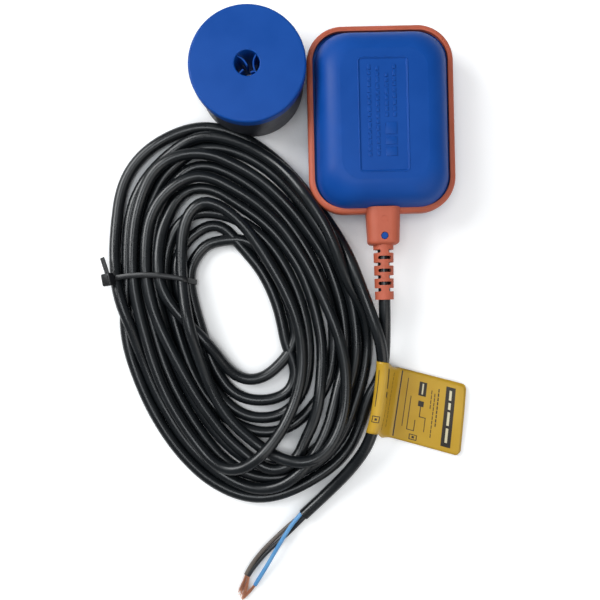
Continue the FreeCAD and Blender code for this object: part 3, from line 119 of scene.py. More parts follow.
# Turns of the coil read off the photo, pixels across, pixels down, height in mm.
# Each starts at the lower right and runs by the bottom, the left and the top back to the right.
TURNS = [
    [
        (360, 414, 3.6), (356, 432, 3.6), (347, 450, 3.6), (334, 464, 3.6), (318, 475, 3.6),
        (300, 485, 3.6), (282, 492, 3.6), (264, 495, 3.6), (246, 493, 3.6), (228, 486, 3.6),
        (207, 475, 3.6), (186, 455, 3.6), (171, 436, 3.6), (157, 413, 3.6), (146, 390, 3.6),
        (137, 366, 3.6), (131, 346, 3.6), (127, 320, 4.5), (128, 284, 5), (130, 255, 4.5),
        (133, 225, 3.6), (139, 200, 3.6), (150, 180, 3.6), (165, 163, 4), (181, 149, 6),
        (196, 138, 8.5), (212, 134, 10.5), (243, 139, 12), (275, 157, 17), (296, 175, 24),
        (306, 186, 28.5), (318, 200, 29), (329, 218, 29), (340, 238, 28.5), (348, 256, 27),
        (354, 273, 25), (358, 290, 21), (360, 305, 15), (361, 320, 10), (361, 340, 5),
    ],
    [
        (359, 362, 3.6), (354, 388, 3.6), (350, 405, 3.6), (344, 425, 3.6), (334, 443, 3.6),
        (320, 458, 3.6), (303, 470, 3.6), (284, 478, 3.6), (265, 481, 3.6), (246, 477, 3.6),
        (228, 468, 3.6), (212, 454, 3.6), (196, 434, 3.6), (180, 409, 3.6), (166, 381, 3.6),
        (155, 350, 3.6), (147, 318, 4.5), (141, 284, 5), (142, 255, 4.5), (144, 230, 3.6),
        (148, 212, 3.6), (153, 202, 3.6), (159, 186, 4), (167, 172, 5), (177, 161, 6),
        (189, 147, 7.5), (204, 140, 8), (222, 142, 9), (243, 149, 10), (264, 161, 10),
        (285, 179, 10), (306, 204, 12), (319, 224, 13), (332, 249, 13), (343, 276, 12),
        (350, 298, 11), (354, 319, 10.5), (356, 340, 10.5), (356, 354, 10),
    ],
    [
        (354, 366, 9), (351, 384, 7), (346, 404, 5), (338, 424, 4), (327, 441, 3.6),
        (314, 454, 3.6), (298, 463, 3.6), (280, 467, 3.6), (262, 465, 3.6), (245, 456, 3.6),
        (228, 441, 3.6), (211, 420, 3.6), (195, 395, 3.6), (180, 368, 3.6), (168, 338, 3.6),
        (158, 308, 4.5), (152, 284, 5), (150, 258, 4.5), (152, 234, 3.6), (158, 210, 3.6),
        (166, 192, 4), (175, 174, 5), (194, 162, 6), (212, 164, 6), (235, 174, 6),
        (258, 189, 6), (279, 208, 6), (298, 230, 6), (314, 255, 6), (328, 284, 6),
        (337, 310, 6), (341, 335, 5),
    ],
    [
        (341, 360, 4), (336, 378, 3.6), (326, 394, 3.6), (315, 408, 3.6), (303, 420, 3.6),
        (289, 429, 3.6), (274, 433, 3.6), (257, 432, 3.6), (240, 425, 3.6), (224, 412, 3.6),
        (209, 392, 3.6), (196, 367, 3.6), (185, 338, 4.5), (175, 308, 7), (168, 284, 9.6),
        (165, 272, 9), (167, 239, 8), (173, 228, 8), (180, 219, 7), (192, 213, 5),
        (208, 212, 4), (228, 217, 3.6), (247, 228, 3.6), (265, 244, 3.6), (281, 265, 3.6),
        (294, 290, 3.6), (303, 318, 3.6), (306, 345, 3.6),
    ],
    [
        (305, 368, 3.6), (300, 389, 3.6), (291, 406, 3.6), (279, 416, 3.6), (261, 419, 3.6),
        (242, 416, 3.6), (228, 405, 3.6), (214, 386, 3.6), (201, 362, 3.6), (190, 336, 3.6),
        (178, 308, 4.5), (168, 284, 5), (168, 262, 4.5), (176, 246, 3.6), (187, 238, 3.6),
        (192, 236, 3.6), (198, 230, 3.6), (208, 226, 3.6), (222, 227, 3.6), (238, 235, 3.6),
        (254, 248, 3.6), (269, 268, 3.6), (281, 293, 3.6), (289, 320, 3.6), (292, 345, 3.6),
    ],
    [
        (296, 362, 3.6), (298, 380, 3.6), (291, 393, 3.6), (276, 400, 3.6), (257, 403, 3.6),
        (238, 401, 3.6), (223, 394, 3.6), (211, 379, 3.6), (203, 356, 3.6), (195, 332, 3.6),
        (188, 308, 4.5), (184, 284, 5), (188, 262, 4.5), (198, 251, 3.6), (208, 240, 3.6),
        (220, 236, 3.6), (227, 235, 3.6), (247, 237, 3.6), (262, 250, 3.6), (274, 270, 3.6),
        (284, 292, 3.6), (291, 315, 3.6),
    ],
    [
        (294, 340, 3.6), (289, 353, 3.6), (276, 369, 3.6), (261, 379, 3.6), (245, 382, 3.6),
        (232, 379, 3.6), (219, 372, 3.6), (206, 355, 5), (195, 338, 7), (182, 320, 9),
        (170, 302, 10), (161, 284, 11), (158, 262, 10.5), (157, 239, 9), (158, 224, 9),
        (164, 212, 9), (169, 201, 9.5), (178, 190, 10), (192, 185, 10), (208, 186, 10),
        (217, 190, 10), (233, 201, 10), (254, 215, 10), (269, 228, 10), (290, 253, 10),
        (304, 276, 10), (313, 301, 10), (320, 326, 10), (324, 351, 10), (323, 378, 10),
        (321, 401, 10), (315, 423, 10), (306, 440, 10),
    ],
    [
        (301, 452, 10), (297, 462, 10), (289, 468, 10), (276, 473, 10.5), (264, 471, 10.5),
        (253, 464, 10.5), (243, 456, 10.5), (225, 441, 10.5), (209, 420, 10.5), (193, 395, 10.5),
        (178, 367, 10.5), (165, 337, 10.5), (155, 312, 10.5), (149, 284, 11), (147, 272, 10.5),
        (147, 250, 10), (149, 228, 10), (155, 209, 10), (167, 192, 11), (178, 182, 13),
        (192, 174, 14), (208, 174, 14), (222, 182, 13.5), (243, 192, 13), (264, 207, 13),
        (285, 227, 13), (291, 235, 13), (311, 266, 14), (323, 293, 15), (333, 316, 16),
        (341, 340, 17), (346, 363, 17), (347, 383, 17), (346, 403, 17),
    ],
    [
        (344, 416, 17), (338, 434, 17), (328, 451, 17), (315, 460, 17), (302, 464, 17),
        (289, 462, 16), (276, 457, 14), (264, 450, 12), (251, 439, 11), (233, 423, 10),
        (219, 404, 10), (209, 383, 10), (200, 358, 10), (197, 348, 10), (186, 318, 10.5),
        (181, 284, 11), (180, 250, 11), (182, 228, 12), (187, 215, 13), (192, 206, 13),
        (203, 200, 13), (214, 203, 12), (227, 211, 11), (243, 224, 10), (259, 246, 10),
        (275, 273, 10), (284, 290, 10), (294, 316, 10), (299, 340, 10), (301, 361, 11),
    ],
    [
        (301, 378, 14), (296, 401, 16), (287, 423, 18), (276, 442, 20), (264, 456, 21),
        (251, 467, 20), (232, 475, 17), (213, 467, 14), (199, 450, 12), (184, 430, 10.5),
        (171, 409, 10.5), (161, 386, 10.5), (152, 359, 10.5), (147, 335, 10.5), (141, 308, 10.5),
        (137, 284, 11), (136, 265, 10.5), (136, 239, 10), (137, 218, 10), (141, 196, 11),
        (147, 176, 13), (156, 164, 14), (171, 154, 15), (187, 151, 15.5), (208, 151, 15.5),
        (222, 158, 15), (243, 168, 14), (264, 183, 13), (285, 204, 13), (296, 217, 12),
        (312, 240, 9), (326, 260, 6), (333, 278, 4), (341, 298, 3.6),
    ],
    [
        (347, 318, 3.6), (350, 340, 3.6), (350, 362, 3.6), (349, 385, 4), (345, 402, 7),
        (336, 428, 9), (322, 450, 9), (304, 468, 10), (286, 482, 10), (266, 490, 10),
        (246, 489, 10), (226, 480, 10), (206, 464, 10), (188, 443, 10), (171, 415, 10),
        (160, 397, 10), (153, 383, 10.5), (147, 367, 10.5), (139, 349, 10.5), (132, 328, 10.5),
        (125, 308, 10.5), (120, 284, 11), (117, 268, 10.5), (114, 245, 10), (115, 218, 10),
        (117, 196, 10), (123, 176, 10), (136, 157, 10), (155, 143, 10), (178, 134, 8),
        (200, 131, 6), (215, 133, 4), (235, 140, 3.6), (258, 152, 3.6), (280, 170, 3.6),
        (298, 192, 4), (312, 214, 9), (326, 230, 13), (340, 246, 17.5),
    ],
]

# Settling of the coil: how the strands push apart and lie down, sizes in mm
SETTLE_STEPS = 240
LAST_STEPS = 60
CLEARANCE = 0.06
NEIGHBOURS = 4
LOOK_AGAIN = 6
LOOK_REACH = 3
LEAST_GAP = 0.01
FALL = 0.06
HOLD = 0.006
KEPT_SHARE = 0.5
TIE_Y = -89.6
TIE_REACH = 7.0
TIE_SHARE = 1.35
COIL_RIGHT = -60.0
COIL_LEFT_SIDE = -105.0
CUT = 0.25
CUTS = 2


def cut_corners(given, times):
    """More points or rings between the given ones, on a smoother line with the same ends."""
    line = np.array(given, dtype=float)
    for _ in range(times):
        middle = np.empty((2 * len(line) - 2, line.shape[1]))
        middle[0::2] = (1 - CUT) * line[:-1] + CUT * line[1:]
        middle[1::2] = CUT * line[:-1] + (1 - CUT) * line[1:]
        line = np.vstack([line[:1], middle, line[-1:]])
    return line


def distances(points):
    """How far along its line each point lies."""
    runs = np.linalg.norm(np.diff(points, axis=0), axis=1)
    return np.concatenate([[0], np.cumsum(runs)])


def even(points, step):
    """Points at an even step along a smooth line past the given points."""
    given = cut_corners(points, CUTS)
    along = distances(given)
    count = int(round(along[-1] / step)) + 1
    places = np.linspace(0, along[-1], count)
    return np.stack([np.interp(places, along, given[:, axis]) for axis in range(3)], axis=1)


def solid_tree(names):
    """One tree of the faces of some nodes, for finding how near a point is to them."""
    corners = []
    faces = []
    for name in names:
        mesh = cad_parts[name].data
        start = len(corners)
        corners += [vertex.co / MM for vertex in mesh.vertices]
        faces += [[start + corner for corner in face.vertices] for face in mesh.polygons]
    return BVHTree.FromPolygons(corners, faces)


def close_pairs(points, reach):
    """Pairs of points nearer than the reach that aren't neighbours along the cable."""
    found = []
    for first in range(len(points) - NEIGHBOURS - 1):
        start = first + NEIGHBOURS + 1
        gaps = points[start:] - points[first]
        near = np.nonzero(np.einsum("ij,ij->i", gaps, gaps) < reach * reach)[0]
        found += [(first, start + int(other)) for other in near]
    return np.array(found, dtype=int)


def keep_off(points, free, tree):
    """Move the free points that lie in a solid, or too near it, out to the cable's radius."""
    near = np.nonzero(free & (points[:, 0] > COIL_RIGHT) & (points[:, 1] > TIE_Y))[0]
    for index in near:
        point = Vector(points[index])
        place, normal, _, _ = tree.find_nearest(point)
        away = point - place
        if away.dot(normal) < 0:
            points[index] = place + normal * CABLE_RADIUS
        elif away.length < CABLE_RADIUS:
            points[index] = place + away.normalized() * CABLE_RADIUS


def settle(seed, free, tree):
    """Let the strands push apart and lie on each other and on the floor."""
    points = seed.copy()
    apart = 2 * CABLE_RADIUS + CLEARANCE
    tied = (np.abs(seed[:, 1] - TIE_Y) < TIE_REACH) & (seed[:, 0] < COIL_LEFT_SIDE)
    floor = CABLE_RADIUS + TIE_SHARE * tied
    for step in range(SETTLE_STEPS + LAST_STEPS):
        last = step >= SETTLE_STEPS
        if step % LOOK_AGAIN == 0:
            pairs = close_pairs(points, apart + LOOK_REACH)
        one = pairs[:, 0]
        other = pairs[:, 1]
        gaps = points[one] - points[other]
        distance = np.maximum(np.linalg.norm(gaps, axis=1), LEAST_GAP)
        push = np.clip(apart - distance, 0, None)
        # Each of two points takes half of the push, and a point takes the mean of its pushes
        move = gaps / distance[:, None] * (push / 2)[:, None]
        total = np.zeros_like(points)
        count = np.zeros(len(points))
        np.add.at(total, one, move)
        np.add.at(total, other, -move)
        np.add.at(count, one, push > 0)
        np.add.at(count, other, push > 0)
        points[free] += (total / np.maximum(count, 1)[:, None])[free]
        # The cable is stiff, so a point's shift is shared with the two beside it
        shift = points - seed
        smooth = shift.copy()
        smooth[1:-1] = KEPT_SHARE * shift[1:-1] + (1 - KEPT_SHARE) / 2 * (shift[:-2] + shift[2:])
        if not last:
            smooth *= 1 - HOLD
            smooth[:, 2] -= FALL
        points[free] = (seed + smooth)[free]
        points[free, 2] = np.maximum(points[free, 2], floor[free])
        keep_off(points, free, tree)
    return points


def cable_points():
    """The whole cable's line in mm, from the float to the end of its sheath."""
    coil = [row(*point) for turn in TURNS for point in turn]
    coil_even = even([LEAD[-1]] + coil + [TAIL[0]], POINT_STEP)
    lead_even = even(LEAD, POINT_STEP)
    tail_even = even(TAIL, POINT_STEP)
    seed = np.vstack([lead_even[:-1], coil_even, tail_even[1:]])
    free = np.zeros(len(seed), dtype=bool)
    free[len(lead_even) : len(lead_even) + len(coil_even) - 2] = True
    solids = ["seal_band", "front_shell", "rear_shell", "counterweight_body", "counterweight_cap"]
    return settle(seed, free, solid_tree(solids))


SPLINE_ORDER = 3
CABLE_DETAIL = 3
CABLE_SIDES = 5


def round_curve(name, radius, sides):
    """An empty curve with a round section and closed ends, its radius in mm."""
    curve = bpy.data.curves.new(name, "CURVE")
    curve.dimensions = "3D"
    curve.bevel_depth = radius * MM
    curve.bevel_resolution = sides
    curve.use_fill_caps = True
    return curve


def add_spline(curve, points, detail):
    """One open smooth spline with control points in mm."""
    spline = curve.splines.new("NURBS")
    spline.points.add(len(points) - 1)
    for place, point in zip(spline.points, points):
        place.co = (point[0] * MM, point[1] * MM, point[2] * MM, 1)
    spline.order_u = SPLINE_ORDER
    spline.use_endpoint_u = True
    spline.resolution_u = detail


cable_line = cable_points()
control = np.vstack([cable_line[:-1:CONTROL_EVERY], cable_line[-1:]])
sheath = round_curve("cable", CABLE_RADIUS, CABLE_SIDES)
add_spline(sheath, control, CABLE_DETAIL)
cable = new_thing("cable", sheath)

# Patterns of the surfaces: sizes in mm, and where in a noise's range they start and are full.
# Real handling scratches are finer: these are drawn about 1 mm wide, so that they show.
MOTTLE_SIZE = 16.667
SCRATCH_LENGTH = 25.0
SCRATCH_WIDTH = 1.111
SCRATCH_TURN = 0.6
SCRATCH_RANGE = (0.62, 0.7)
MOTTLE_DETAIL = 3.0
GRAIN_DETAIL = 2.0
SCRATCH_DETAIL = 1.0
COLOUR_RANGE = (0.3, 0.7)
ROUGH_RANGE = (0.35, 0.65)


def linear(code):
    """A colour written as in a picture, turned into light."""
    parts = [int(code[place : place + 2], 16) / 255 for place in (0, 2, 4)]
    return tuple(p / 12.92 if p <= 0.04045 else ((p + 0.055) / 1.055) ** 2.4 for p in parts) + (1.0,)


def add(tree, kind, settings=None, links=None):
    """Add a node with settings, and link its inputs, by name or number, to the outputs of others."""
    node = tree.nodes.new(kind)
    for name, value in (settings or {}).items():
        if name in node.inputs:
            node.inputs[name].default_value = value
        else:
            setattr(node, name, value)
    for name, output in (links or {}).items():
        tree.links.new(output, node.inputs[name])
    return node


def start_material(name):
    """A material with an empty node tree."""
    made = bpy.data.materials.new(name)
    made.use_nodes = True
    made.node_tree.nodes.clear()
    return made


def set_stops(node, colours):
    """Blend a colour ramp from the first colour to the second."""
    for stop, place, code in zip(node.color_ramp.elements, COLOUR_RANGE, colours):
        stop.position = place
        stop.color = linear(code)


def limits(start, full, low, high):
    """The settings that turn one range into another."""
    return {"From Min": start, "From Max": full, "To Min": low, "To Max": high}


def plain_material(name, colours, rough, grain, bump, scratch=0.0, metal=0.0, level=0.5):
    """A surface with a mottled colour, uneven roughness, fine grain and faint scratches.

    colours are the darker and the lighter colour, rough the least and most roughness,
    grain the size of the grain in mm and bump its depth in mm, scratch how much a scratch
    roughens, metal 1.0 for a metal, and level how much light the surface throws back."""
    made = start_material(name)
    tree = made.node_tree
    place = add(tree, "ShaderNodeTexCoord").outputs["Object"]
    patches = {"Scale": METRE / MOTTLE_SIZE, "Detail": MOTTLE_DETAIL}
    broad = add(tree, "ShaderNodeTexNoise", patches, {"Vector": place}).outputs["Fac"]
    colour = add(tree, "ShaderNodeValToRGB", {}, {"Fac": broad})
    set_stops(colour, colours)
    grains = {"Scale": METRE / grain, "Detail": GRAIN_DETAIL}
    fine = add(tree, "ShaderNodeTexNoise", grains, {"Vector": place}).outputs["Fac"]
    long = METRE / SCRATCH_LENGTH
    thin = METRE / SCRATCH_WIDTH
    stretch = {"Scale": (long, thin, thin), "Rotation": (0.0, 0.0, SCRATCH_TURN)}
    drawn = add(tree, "ShaderNodeMapping", stretch, {"Vector": place}).outputs["Vector"]
    streaks = {"Scale": 1.0, "Detail": SCRATCH_DETAIL}
    lines = add(tree, "ShaderNodeTexNoise", streaks, {"Vector": drawn}).outputs["Fac"]
    scratches = add(tree, "ShaderNodeMapRange", limits(*SCRATCH_RANGE, 0.0, scratch), {"Value": lines})
    uneven = add(tree, "ShaderNodeMapRange", limits(*ROUGH_RANGE, *rough), {"Value": broad})
    both = {0: uneven.outputs["Result"], 1: scratches.outputs["Result"]}
    rougher = add(tree, "ShaderNodeMath", {"operation": "ADD"}, both)
    relief = add(tree, "ShaderNodeBump", {"Strength": 1.0, "Distance": bump * MM}, {"Height": fine})
    shader = add(
        tree,
        "ShaderNodeBsdfPrincipled",
        {"Metallic": metal, "Specular IOR Level": level},
        {
            "Base Color": colour.outputs["Color"],
            "Roughness": rougher.outputs["Value"],
            "Normal": relief.outputs["Normal"],
        },
    )
    add(tree, "ShaderNodeOutputMaterial", {}, {"Surface": shader.outputs["BSDF"]})
    return made


# Each material: its two colours, its least and most roughness, and its grain's size and depth in mm,
# and then how strongly scratches roughen it and, for a metal, 1.0
MATERIALS = {
    # Polypropylene moulded against a satin tool: a soft, low sheen and faint handling scratches
    "blue_plastic": plain_material(
        "satin_blue_polypropylene", ("06479B", "0B4CA2"), (0.42, 0.5), 0.5, 0.012, 0.08, level=0.22
    ),
    # The same plastic moulded dark: duller and a little rougher than the blue
    "dark_plastic": plain_material(
        "satin_dark_polypropylene", ("2A2C33", "353841"), (0.38, 0.5), 0.5, 0.015, 0.08
    ),
    # Thermoplastic rubber moulded in a blasted tool: matt, with a fine grain
    "orange_rubber": plain_material(
        "moulded_orange_rubber", ("BC5B3E", "C8644A"), (0.5, 0.62), 0.35, 0.03, 0.05
    ),
    # Vinyl sheath drawn smooth by its die: a narrow, cool highlight along each strand
    "black_sheath": plain_material(
        "extruded_black_vinyl", ("0C0F12", "121619"), (0.24, 0.33), 0.6, 0.01, 0.06
    ),
    # Nylon moulded in a plain tool: black, a little duller than the sheath
    "black_nylon": plain_material(
        "moulded_black_nylon", ("111214", "18191B"), (0.32, 0.42), 0.4, 0.02, 0.05
    ),
    # Polyester film, cast and printed all over: even yellow, a soft sheen along its folds
    "yellow_film": plain_material(
        "printed_yellow_film", ("C89C26", "D0A52E"), (0.34, 0.42), 1.5, 0.02, 0.04
    ),
    # Ink screened on the film: flat brown black, without a grain of its own. The same dark also paints a
    # shade line along the bottom of the label's fold.
    "label_ink": plain_material(
        "screened_dark_ink_and_fold_shade", ("2A231B", "352C22"), (0.35, 0.45), 0.8, 0.01
    ),
    # Ink screened pale: bars that stand out on the dark ones
    "label_light": plain_material(
        "screened_light_ink", ("D9CDA6", "E6DCBA"), (0.35, 0.45), 0.8, 0.01
    ),
    # Vinyl drawn thin over the wire, light blue: smooth, with a soft streak of light
    "blue_insulation": plain_material(
        "extruded_blue_vinyl", ("5596D0", "6CA9DC"), (0.34, 0.44), 0.4, 0.01
    ),
    # The same in a dark grey that reads as black
    "black_insulation": plain_material(
        "extruded_dark_vinyl", ("232427", "2E2F33"), (0.34, 0.44), 0.4, 0.01
    ),
    # The same in a greyed brown, a touch duller
    "brown_insulation": plain_material(
        "extruded_brown_vinyl", ("5A5049", "6C625A"), (0.36, 0.46), 0.4, 0.01
    ),
    # Copper drawn to fine wire: warm, pale where the light catches it
    "bare_copper": plain_material(
        "drawn_copper_wire", ("D9987A", "E8B090"), (0.3, 0.42), 0.3, 0.01, 0.1, 1.0
    ),
    # Acetal moulded in its own colour: milky, half dull
    "inner_plastic": plain_material(
        "moulded_natural_acetal", ("C9C6BC", "D8D5CB"), (0.4, 0.5), 0.5, 0.01
    ),
    # Phenolic pressed hot in a polished tool: near black, with a hard sheen
    "switch_plastic": plain_material(
        "pressed_black_phenolic", ("18191B", "202225"), (0.35, 0.45), 0.4, 0.01
    ),
    # Acetal moulded red: smooth, a little shinier than its surroundings
    "button_plastic": plain_material(
        "moulded_red_acetal", ("8E1F1A", "A52A22"), (0.3, 0.4), 0.4, 0.01
    ),
    # Steel plated with bright zinc: light grey metal with a faint blur
    "zinc_steel": plain_material(
        "zinc_plated_steel", ("B4B6B8", "C6C8C9"), (0.26, 0.38), 0.3, 0.01, 0.1, 1.0
    ),
    # Steel ground and lapped round: the sharpest reflections of all
    "ball_steel": plain_material(
        "lapped_bearing_steel", ("B8BABC", "CBCDCF"), (0.14, 0.22), 0.3, 0.004, 0.05, 1.0
    ),
    # Brass stamped from strip: yellow metal with the roll's soft blur
    "terminal_brass": plain_material(
        "stamped_brass", ("B7934C", "C8A55B"), (0.26, 0.36), 0.3, 0.008, 0.1, 1.0
    ),
    # Iron cast in sand: dark, dull and the coarsest grain
    "cast_ballast": plain_material(
        "sand_cast_iron", ("4A4A4A", "5C5B59"), (0.55, 0.7), 0.8, 0.08, 0.0, 1.0
    ),
}


def dress(thing, finish):
    """Give an object one material."""
    thing.data.materials.clear()
    thing.data.materials.append(MATERIALS[finish])


def set_on_housing(thing, finish, *nodes):
    """Give a piece its material and slot, and let it ride on the housing in the place of some nodes."""
    dress(thing, finish)
    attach(thing, "housing")
    if nodes:
        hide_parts(*nodes)


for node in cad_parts.values():
    for place in node.material_slots:
        base = place.material.name.split(".")[0] if place.material else ""
        if base in MATERIALS:
            place.material = MATERIALS[base]

set_on_housing(cable, "black_sheath", "cable_lead", "cable_coil", "cable_tail")


def shade(mesh, smooth=True):
    """Shade all faces of a mesh smooth or flat."""
    for face in mesh.polygons:
        face.use_smooth = smooth


def mesh_thing(name, corners, faces, smooth=True):
    """A mesh object from corners in mm and faces."""
    mesh = bpy.data.meshes.new(name)
    mesh.from_pydata([Vector(corner) * MM for corner in corners], [], faces)
    mesh.validate()
    shade(mesh, smooth)
    return new_thing(name, mesh)


def ring_faces(rings, count, closed=False):
    """Faces between rings of as many corners each, and from the last to the first where closed."""
    faces = []
    for ring in range(rings if closed else rings - 1):
        here = ring * count
        there = (ring + 1) % rings * count
        for place in range(count):
            beside = (place + 1) % count
            faces.append((here + place, here + beside, there + beside, there + place))
    return faces


def last_ring(rings, count):
    """The face that closes the last ring."""
    return tuple((rings - 1) * count + place for place in range(count))


def sheet(name, columns, rows, place):
    """A mesh of four-sided faces, each corner put by a function of its shares across and down."""
    corners = []
    for line in range(rows + 1):
        corners += [place(column / columns, line / rows) for column in range(columns + 1)]
    wide = columns + 1
    faces = []
    for line in range(rows):
        for column in range(columns):
            first = line * wide + column
            faces.append((first, first + 1, first + wide + 1, first + wide))
    return mesh_thing(name, corners, faces)


def join_up(name, things):
    """Join mesh objects into the first of them."""
    bpy.ops.object.select_all(action="DESELECT")
    for thing in things:
        thing.select_set(True)
    bpy.context.view_layer.objects.active = things[0]
    bpy.ops.object.join()
    things[0].name = name
    return things[0]


def rounded_block(name, middle, sizes, edge, lean=0.0, tip=0.0):
    """A block with round edges, tipped to the left and turned about the vertical."""
    maker = bmesh.new()
    bmesh.ops.create_cube(maker, size=1.0)
    bmesh.ops.scale(maker, vec=Vector(sizes) * MM, verts=maker.verts)
    bmesh.ops.bevel(
        maker,
        geom=maker.edges[:],
        offset=edge * MM,
        segments=EDGE_STEPS,
        profile=EDGE_ROUND,
        affect="EDGES",
    )
    mesh = bpy.data.meshes.new(name)
    maker.to_mesh(mesh)
    maker.free()
    shade(mesh)
    turn = Matrix.Rotation(lean, 3, "Z") @ Matrix.Rotation(-tip, 3, "Y")
    for vertex in mesh.vertices:
        vertex.co = turn @ vertex.co + Vector(middle) * MM
    return new_thing(name, mesh)


# The tie round the strands, sizes in mm
EDGE_STEPS = 3
EDGE_ROUND = 0.5
STRAP_WIDTH = 3.2
STRAP_THICKNESS = 1.1
STRAP_EDGE = 0.25
STRAP_SIDE_SHARE = 0.6
STRAP_PLAY = 0.05
STRAP_STEP = 1.5
STRAND_SIDES = 48
BOW_RISE = 2.0
BOW_BEND = 13.0
BOW_TOP = 0.4
HEAD_SIZE = (6.4, 7.4, 5.0)
HEAD_EDGE = 0.9
HEAD_TIP = math.radians(25)
HEAD_LEAN = 0.15
HEAD_DOWN = 0.3
RIM_SIZE = (4.4, 4.8, 1.6)
RIM_EDGE = 0.5
RIM_RISE = 2.2
# The cut end of the strap, laid in short blocks that bend away from the head
END_BLOCKS = 9
END_SIZE = (2.6, 1.5, 1.0)
END_EDGE = 0.25
END_LEAN = 0.35
END_START = (-0.2, 3.4, 0.5)
END_MOVE = (-0.42, 1.15, -0.25)


def tied_sections():
    """Where the strands pass through the plane of the tie, across and up in mm."""
    found = []
    for first, second in zip(cable_line[:-1], cable_line[1:]):
        if (first[1] - TIE_Y) * (second[1] - TIE_Y) <= 0 and first[0] < COIL_LEFT_SIDE:
            share = (TIE_Y - first[1]) / (second[1] - first[1])
            middle = first + share * (second - first)
            found.append((float(middle[0]), float(middle[2])))
    return found


def turn_of(first, second, third):
    """More than nothing where the third point lies left of the line through two others."""
    run = (second[0] - first[0], second[1] - first[1])
    return run[0] * (third[1] - first[1]) - run[1] * (third[0] - first[0])


def hull(points):
    """The outline round flat points, against the clock."""
    ordered = sorted(points)
    sides = []
    for listed in (ordered, ordered[::-1]):
        side = []
        for point in listed:
            while len(side) > 1 and turn_of(side[-2], side[-1], point) <= 0:
                side.pop()
            side.append(point)
        sides += side[:-1]
    return sides


def strap_line():
    """The middle line of the strap, across and up in mm."""
    away = CABLE_RADIUS + STRAP_THICKNESS / 2 + STRAP_PLAY
    around = []
    for x, z in tied_sections():
        for step in range(STRAND_SIDES):
            angle = math.tau * step / STRAND_SIDES
            around.append((x + away * math.cos(angle), z + away * math.sin(angle)))
    outline = hull(around)
    line = []
    for first, second in zip(outline, outline[1:] + outline[:1]):
        pieces = max(1, int(math.dist(first, second) / STRAP_STEP))
        for piece in range(pieces):
            share = piece / pieces
            line.append(tuple(a + share * (b - a) for a, b in zip(first, second)))
    return line


def make_strap():
    """The strap with rounded edges, bowed along the strands."""
    line = strap_line()
    half = STRAP_WIDTH / 2
    thick = STRAP_THICKNESS / 2
    flat = half - STRAP_EDGE
    under = [(-half, -STRAP_SIDE_SHARE), (-flat, -1.0), (flat, -1.0), (half, -STRAP_SIDE_SHARE)]
    section = under + [(-across, -share) for across, share in under]
    left = min(x for x, _ in line)
    right = max(x for x, _ in line)
    corners = []
    for place, (x, z) in enumerate(line):
        before = line[place - 1]
        after = line[(place + 1) % len(line)]
        along = Vector((after[0] - before[0], after[1] - before[1])).normalized()
        y = TIE_Y + BOW_RISE - BOW_BEND * ((x - left) / (right - left) - BOW_TOP) ** 2
        for across, share in section:
            corners.append((x + along[1] * share * thick, y + across, z - along[0] * share * thick))
    return mesh_thing("cable_tie_strap", corners, ring_faces(len(line), len(section), closed=True))


def make_tie():
    """The strap, its head on the shoulder of the leftmost strand, and its cut end."""
    strand_x, strand_z = min(tied_sections())
    reach = CABLE_RADIUS + STRAP_THICKNESS + HEAD_SIZE[2] / 2
    out = Vector((-math.sin(HEAD_TIP), 0.0, math.cos(HEAD_TIP)))
    middle = Vector((strand_x, TIE_Y - HEAD_DOWN, strand_z)) + out * reach
    top = middle + out * RIM_RISE
    parts = [
        make_strap(),
        rounded_block("cable_tie_head", middle, HEAD_SIZE, HEAD_EDGE, HEAD_LEAN, HEAD_TIP),
        rounded_block("cable_tie_rim", top, RIM_SIZE, RIM_EDGE, HEAD_LEAN, HEAD_TIP),
    ]
    for step in range(END_BLOCKS):
        place = middle + Vector(END_START) + step * Vector(END_MOVE)
        parts.append(rounded_block("cable_tie_end", place, END_SIZE, END_EDGE, END_LEAN))
    return join_up("bundle_tie", parts)


tie = make_tie()
set_on_housing(tie, "black_nylon", "cable_tie")

# The folded label round the tail, sizes in mm: distance from the cable to the right, and height.
# The front leaf starts at its free end, and the back leaf ends there.
LABEL_TOP = (-0.4, -144.0, 16.4)
LABEL_RIGHT = (0.987, -0.158, 0.0)
LABEL_SEARCH = 60
LABEL_BEFORE = 4
LABEL_TURN = 0.13
LABEL_FAN = 3.4
WRAP_UP = 3.2
LABEL_FLAT_FROM = 9.0
LABEL_AXIS_HEIGHT = 16.2
LABEL_LENGTH = 43.5
LABEL_CORNER = 2.6
LABEL_RADIUS = 3.95
LABEL_STEP = 0.45
LABEL_COLUMN = 0.8
LABEL_ROWS = 28
FILM_THICKNESS = 0.12
FRONT_LEAF = [
    (54.0, 2.3), (46.0, 1.8), (36.0, 1.5), (24.0, 1.45), (16.5, 1.5),
    (13.4, 2.0), (11.2, 3.9), (9.0, 8.0), (6.2, 13.1), (4.2, 16.9),
]
BACK_LEAF = [
    (3.8, 14.2), (6.0, 12.2), (10.4, 3.9), (13.0, 1.5), (16.5, 1.05),
    (24.0, 1.0), (36.0, 1.05), (46.0, 1.3), (54.8, 1.8),
]
ARC_FROM = 30
ARC_STEP = 20
ARC_STEPS = 14
# The flag lifts in a slow wave towards its free end, and its back leaf slips a little up the cable
CURL = 0.5
CURL_REACH = 48.0
CURL_WAVE = 1.3
CURL_START = 0.4
SLIP = 0.9
SLIP_FROM = 0.6
SLOPE_STEP = 0.2


def label_profile():
    """The line of the folded label in the plane across the cable."""
    arc = []
    for step in range(ARC_STEPS):
        angle = math.radians(ARC_FROM + step * ARC_STEP)
        height = LABEL_AXIS_HEIGHT + LABEL_RADIUS * math.sin(angle)
        arc.append((LABEL_RADIUS * math.cos(angle), height))
    flat = [(x, z, 0.0) for x, z in FRONT_LEAF + arc + BACK_LEAF]
    return even(flat, LABEL_STEP)[:, :2]


LABEL_LINE = label_profile()
LABEL_RUNS = distances(LABEL_LINE)
LABEL_WHOLE = float(LABEL_RUNS[-1])


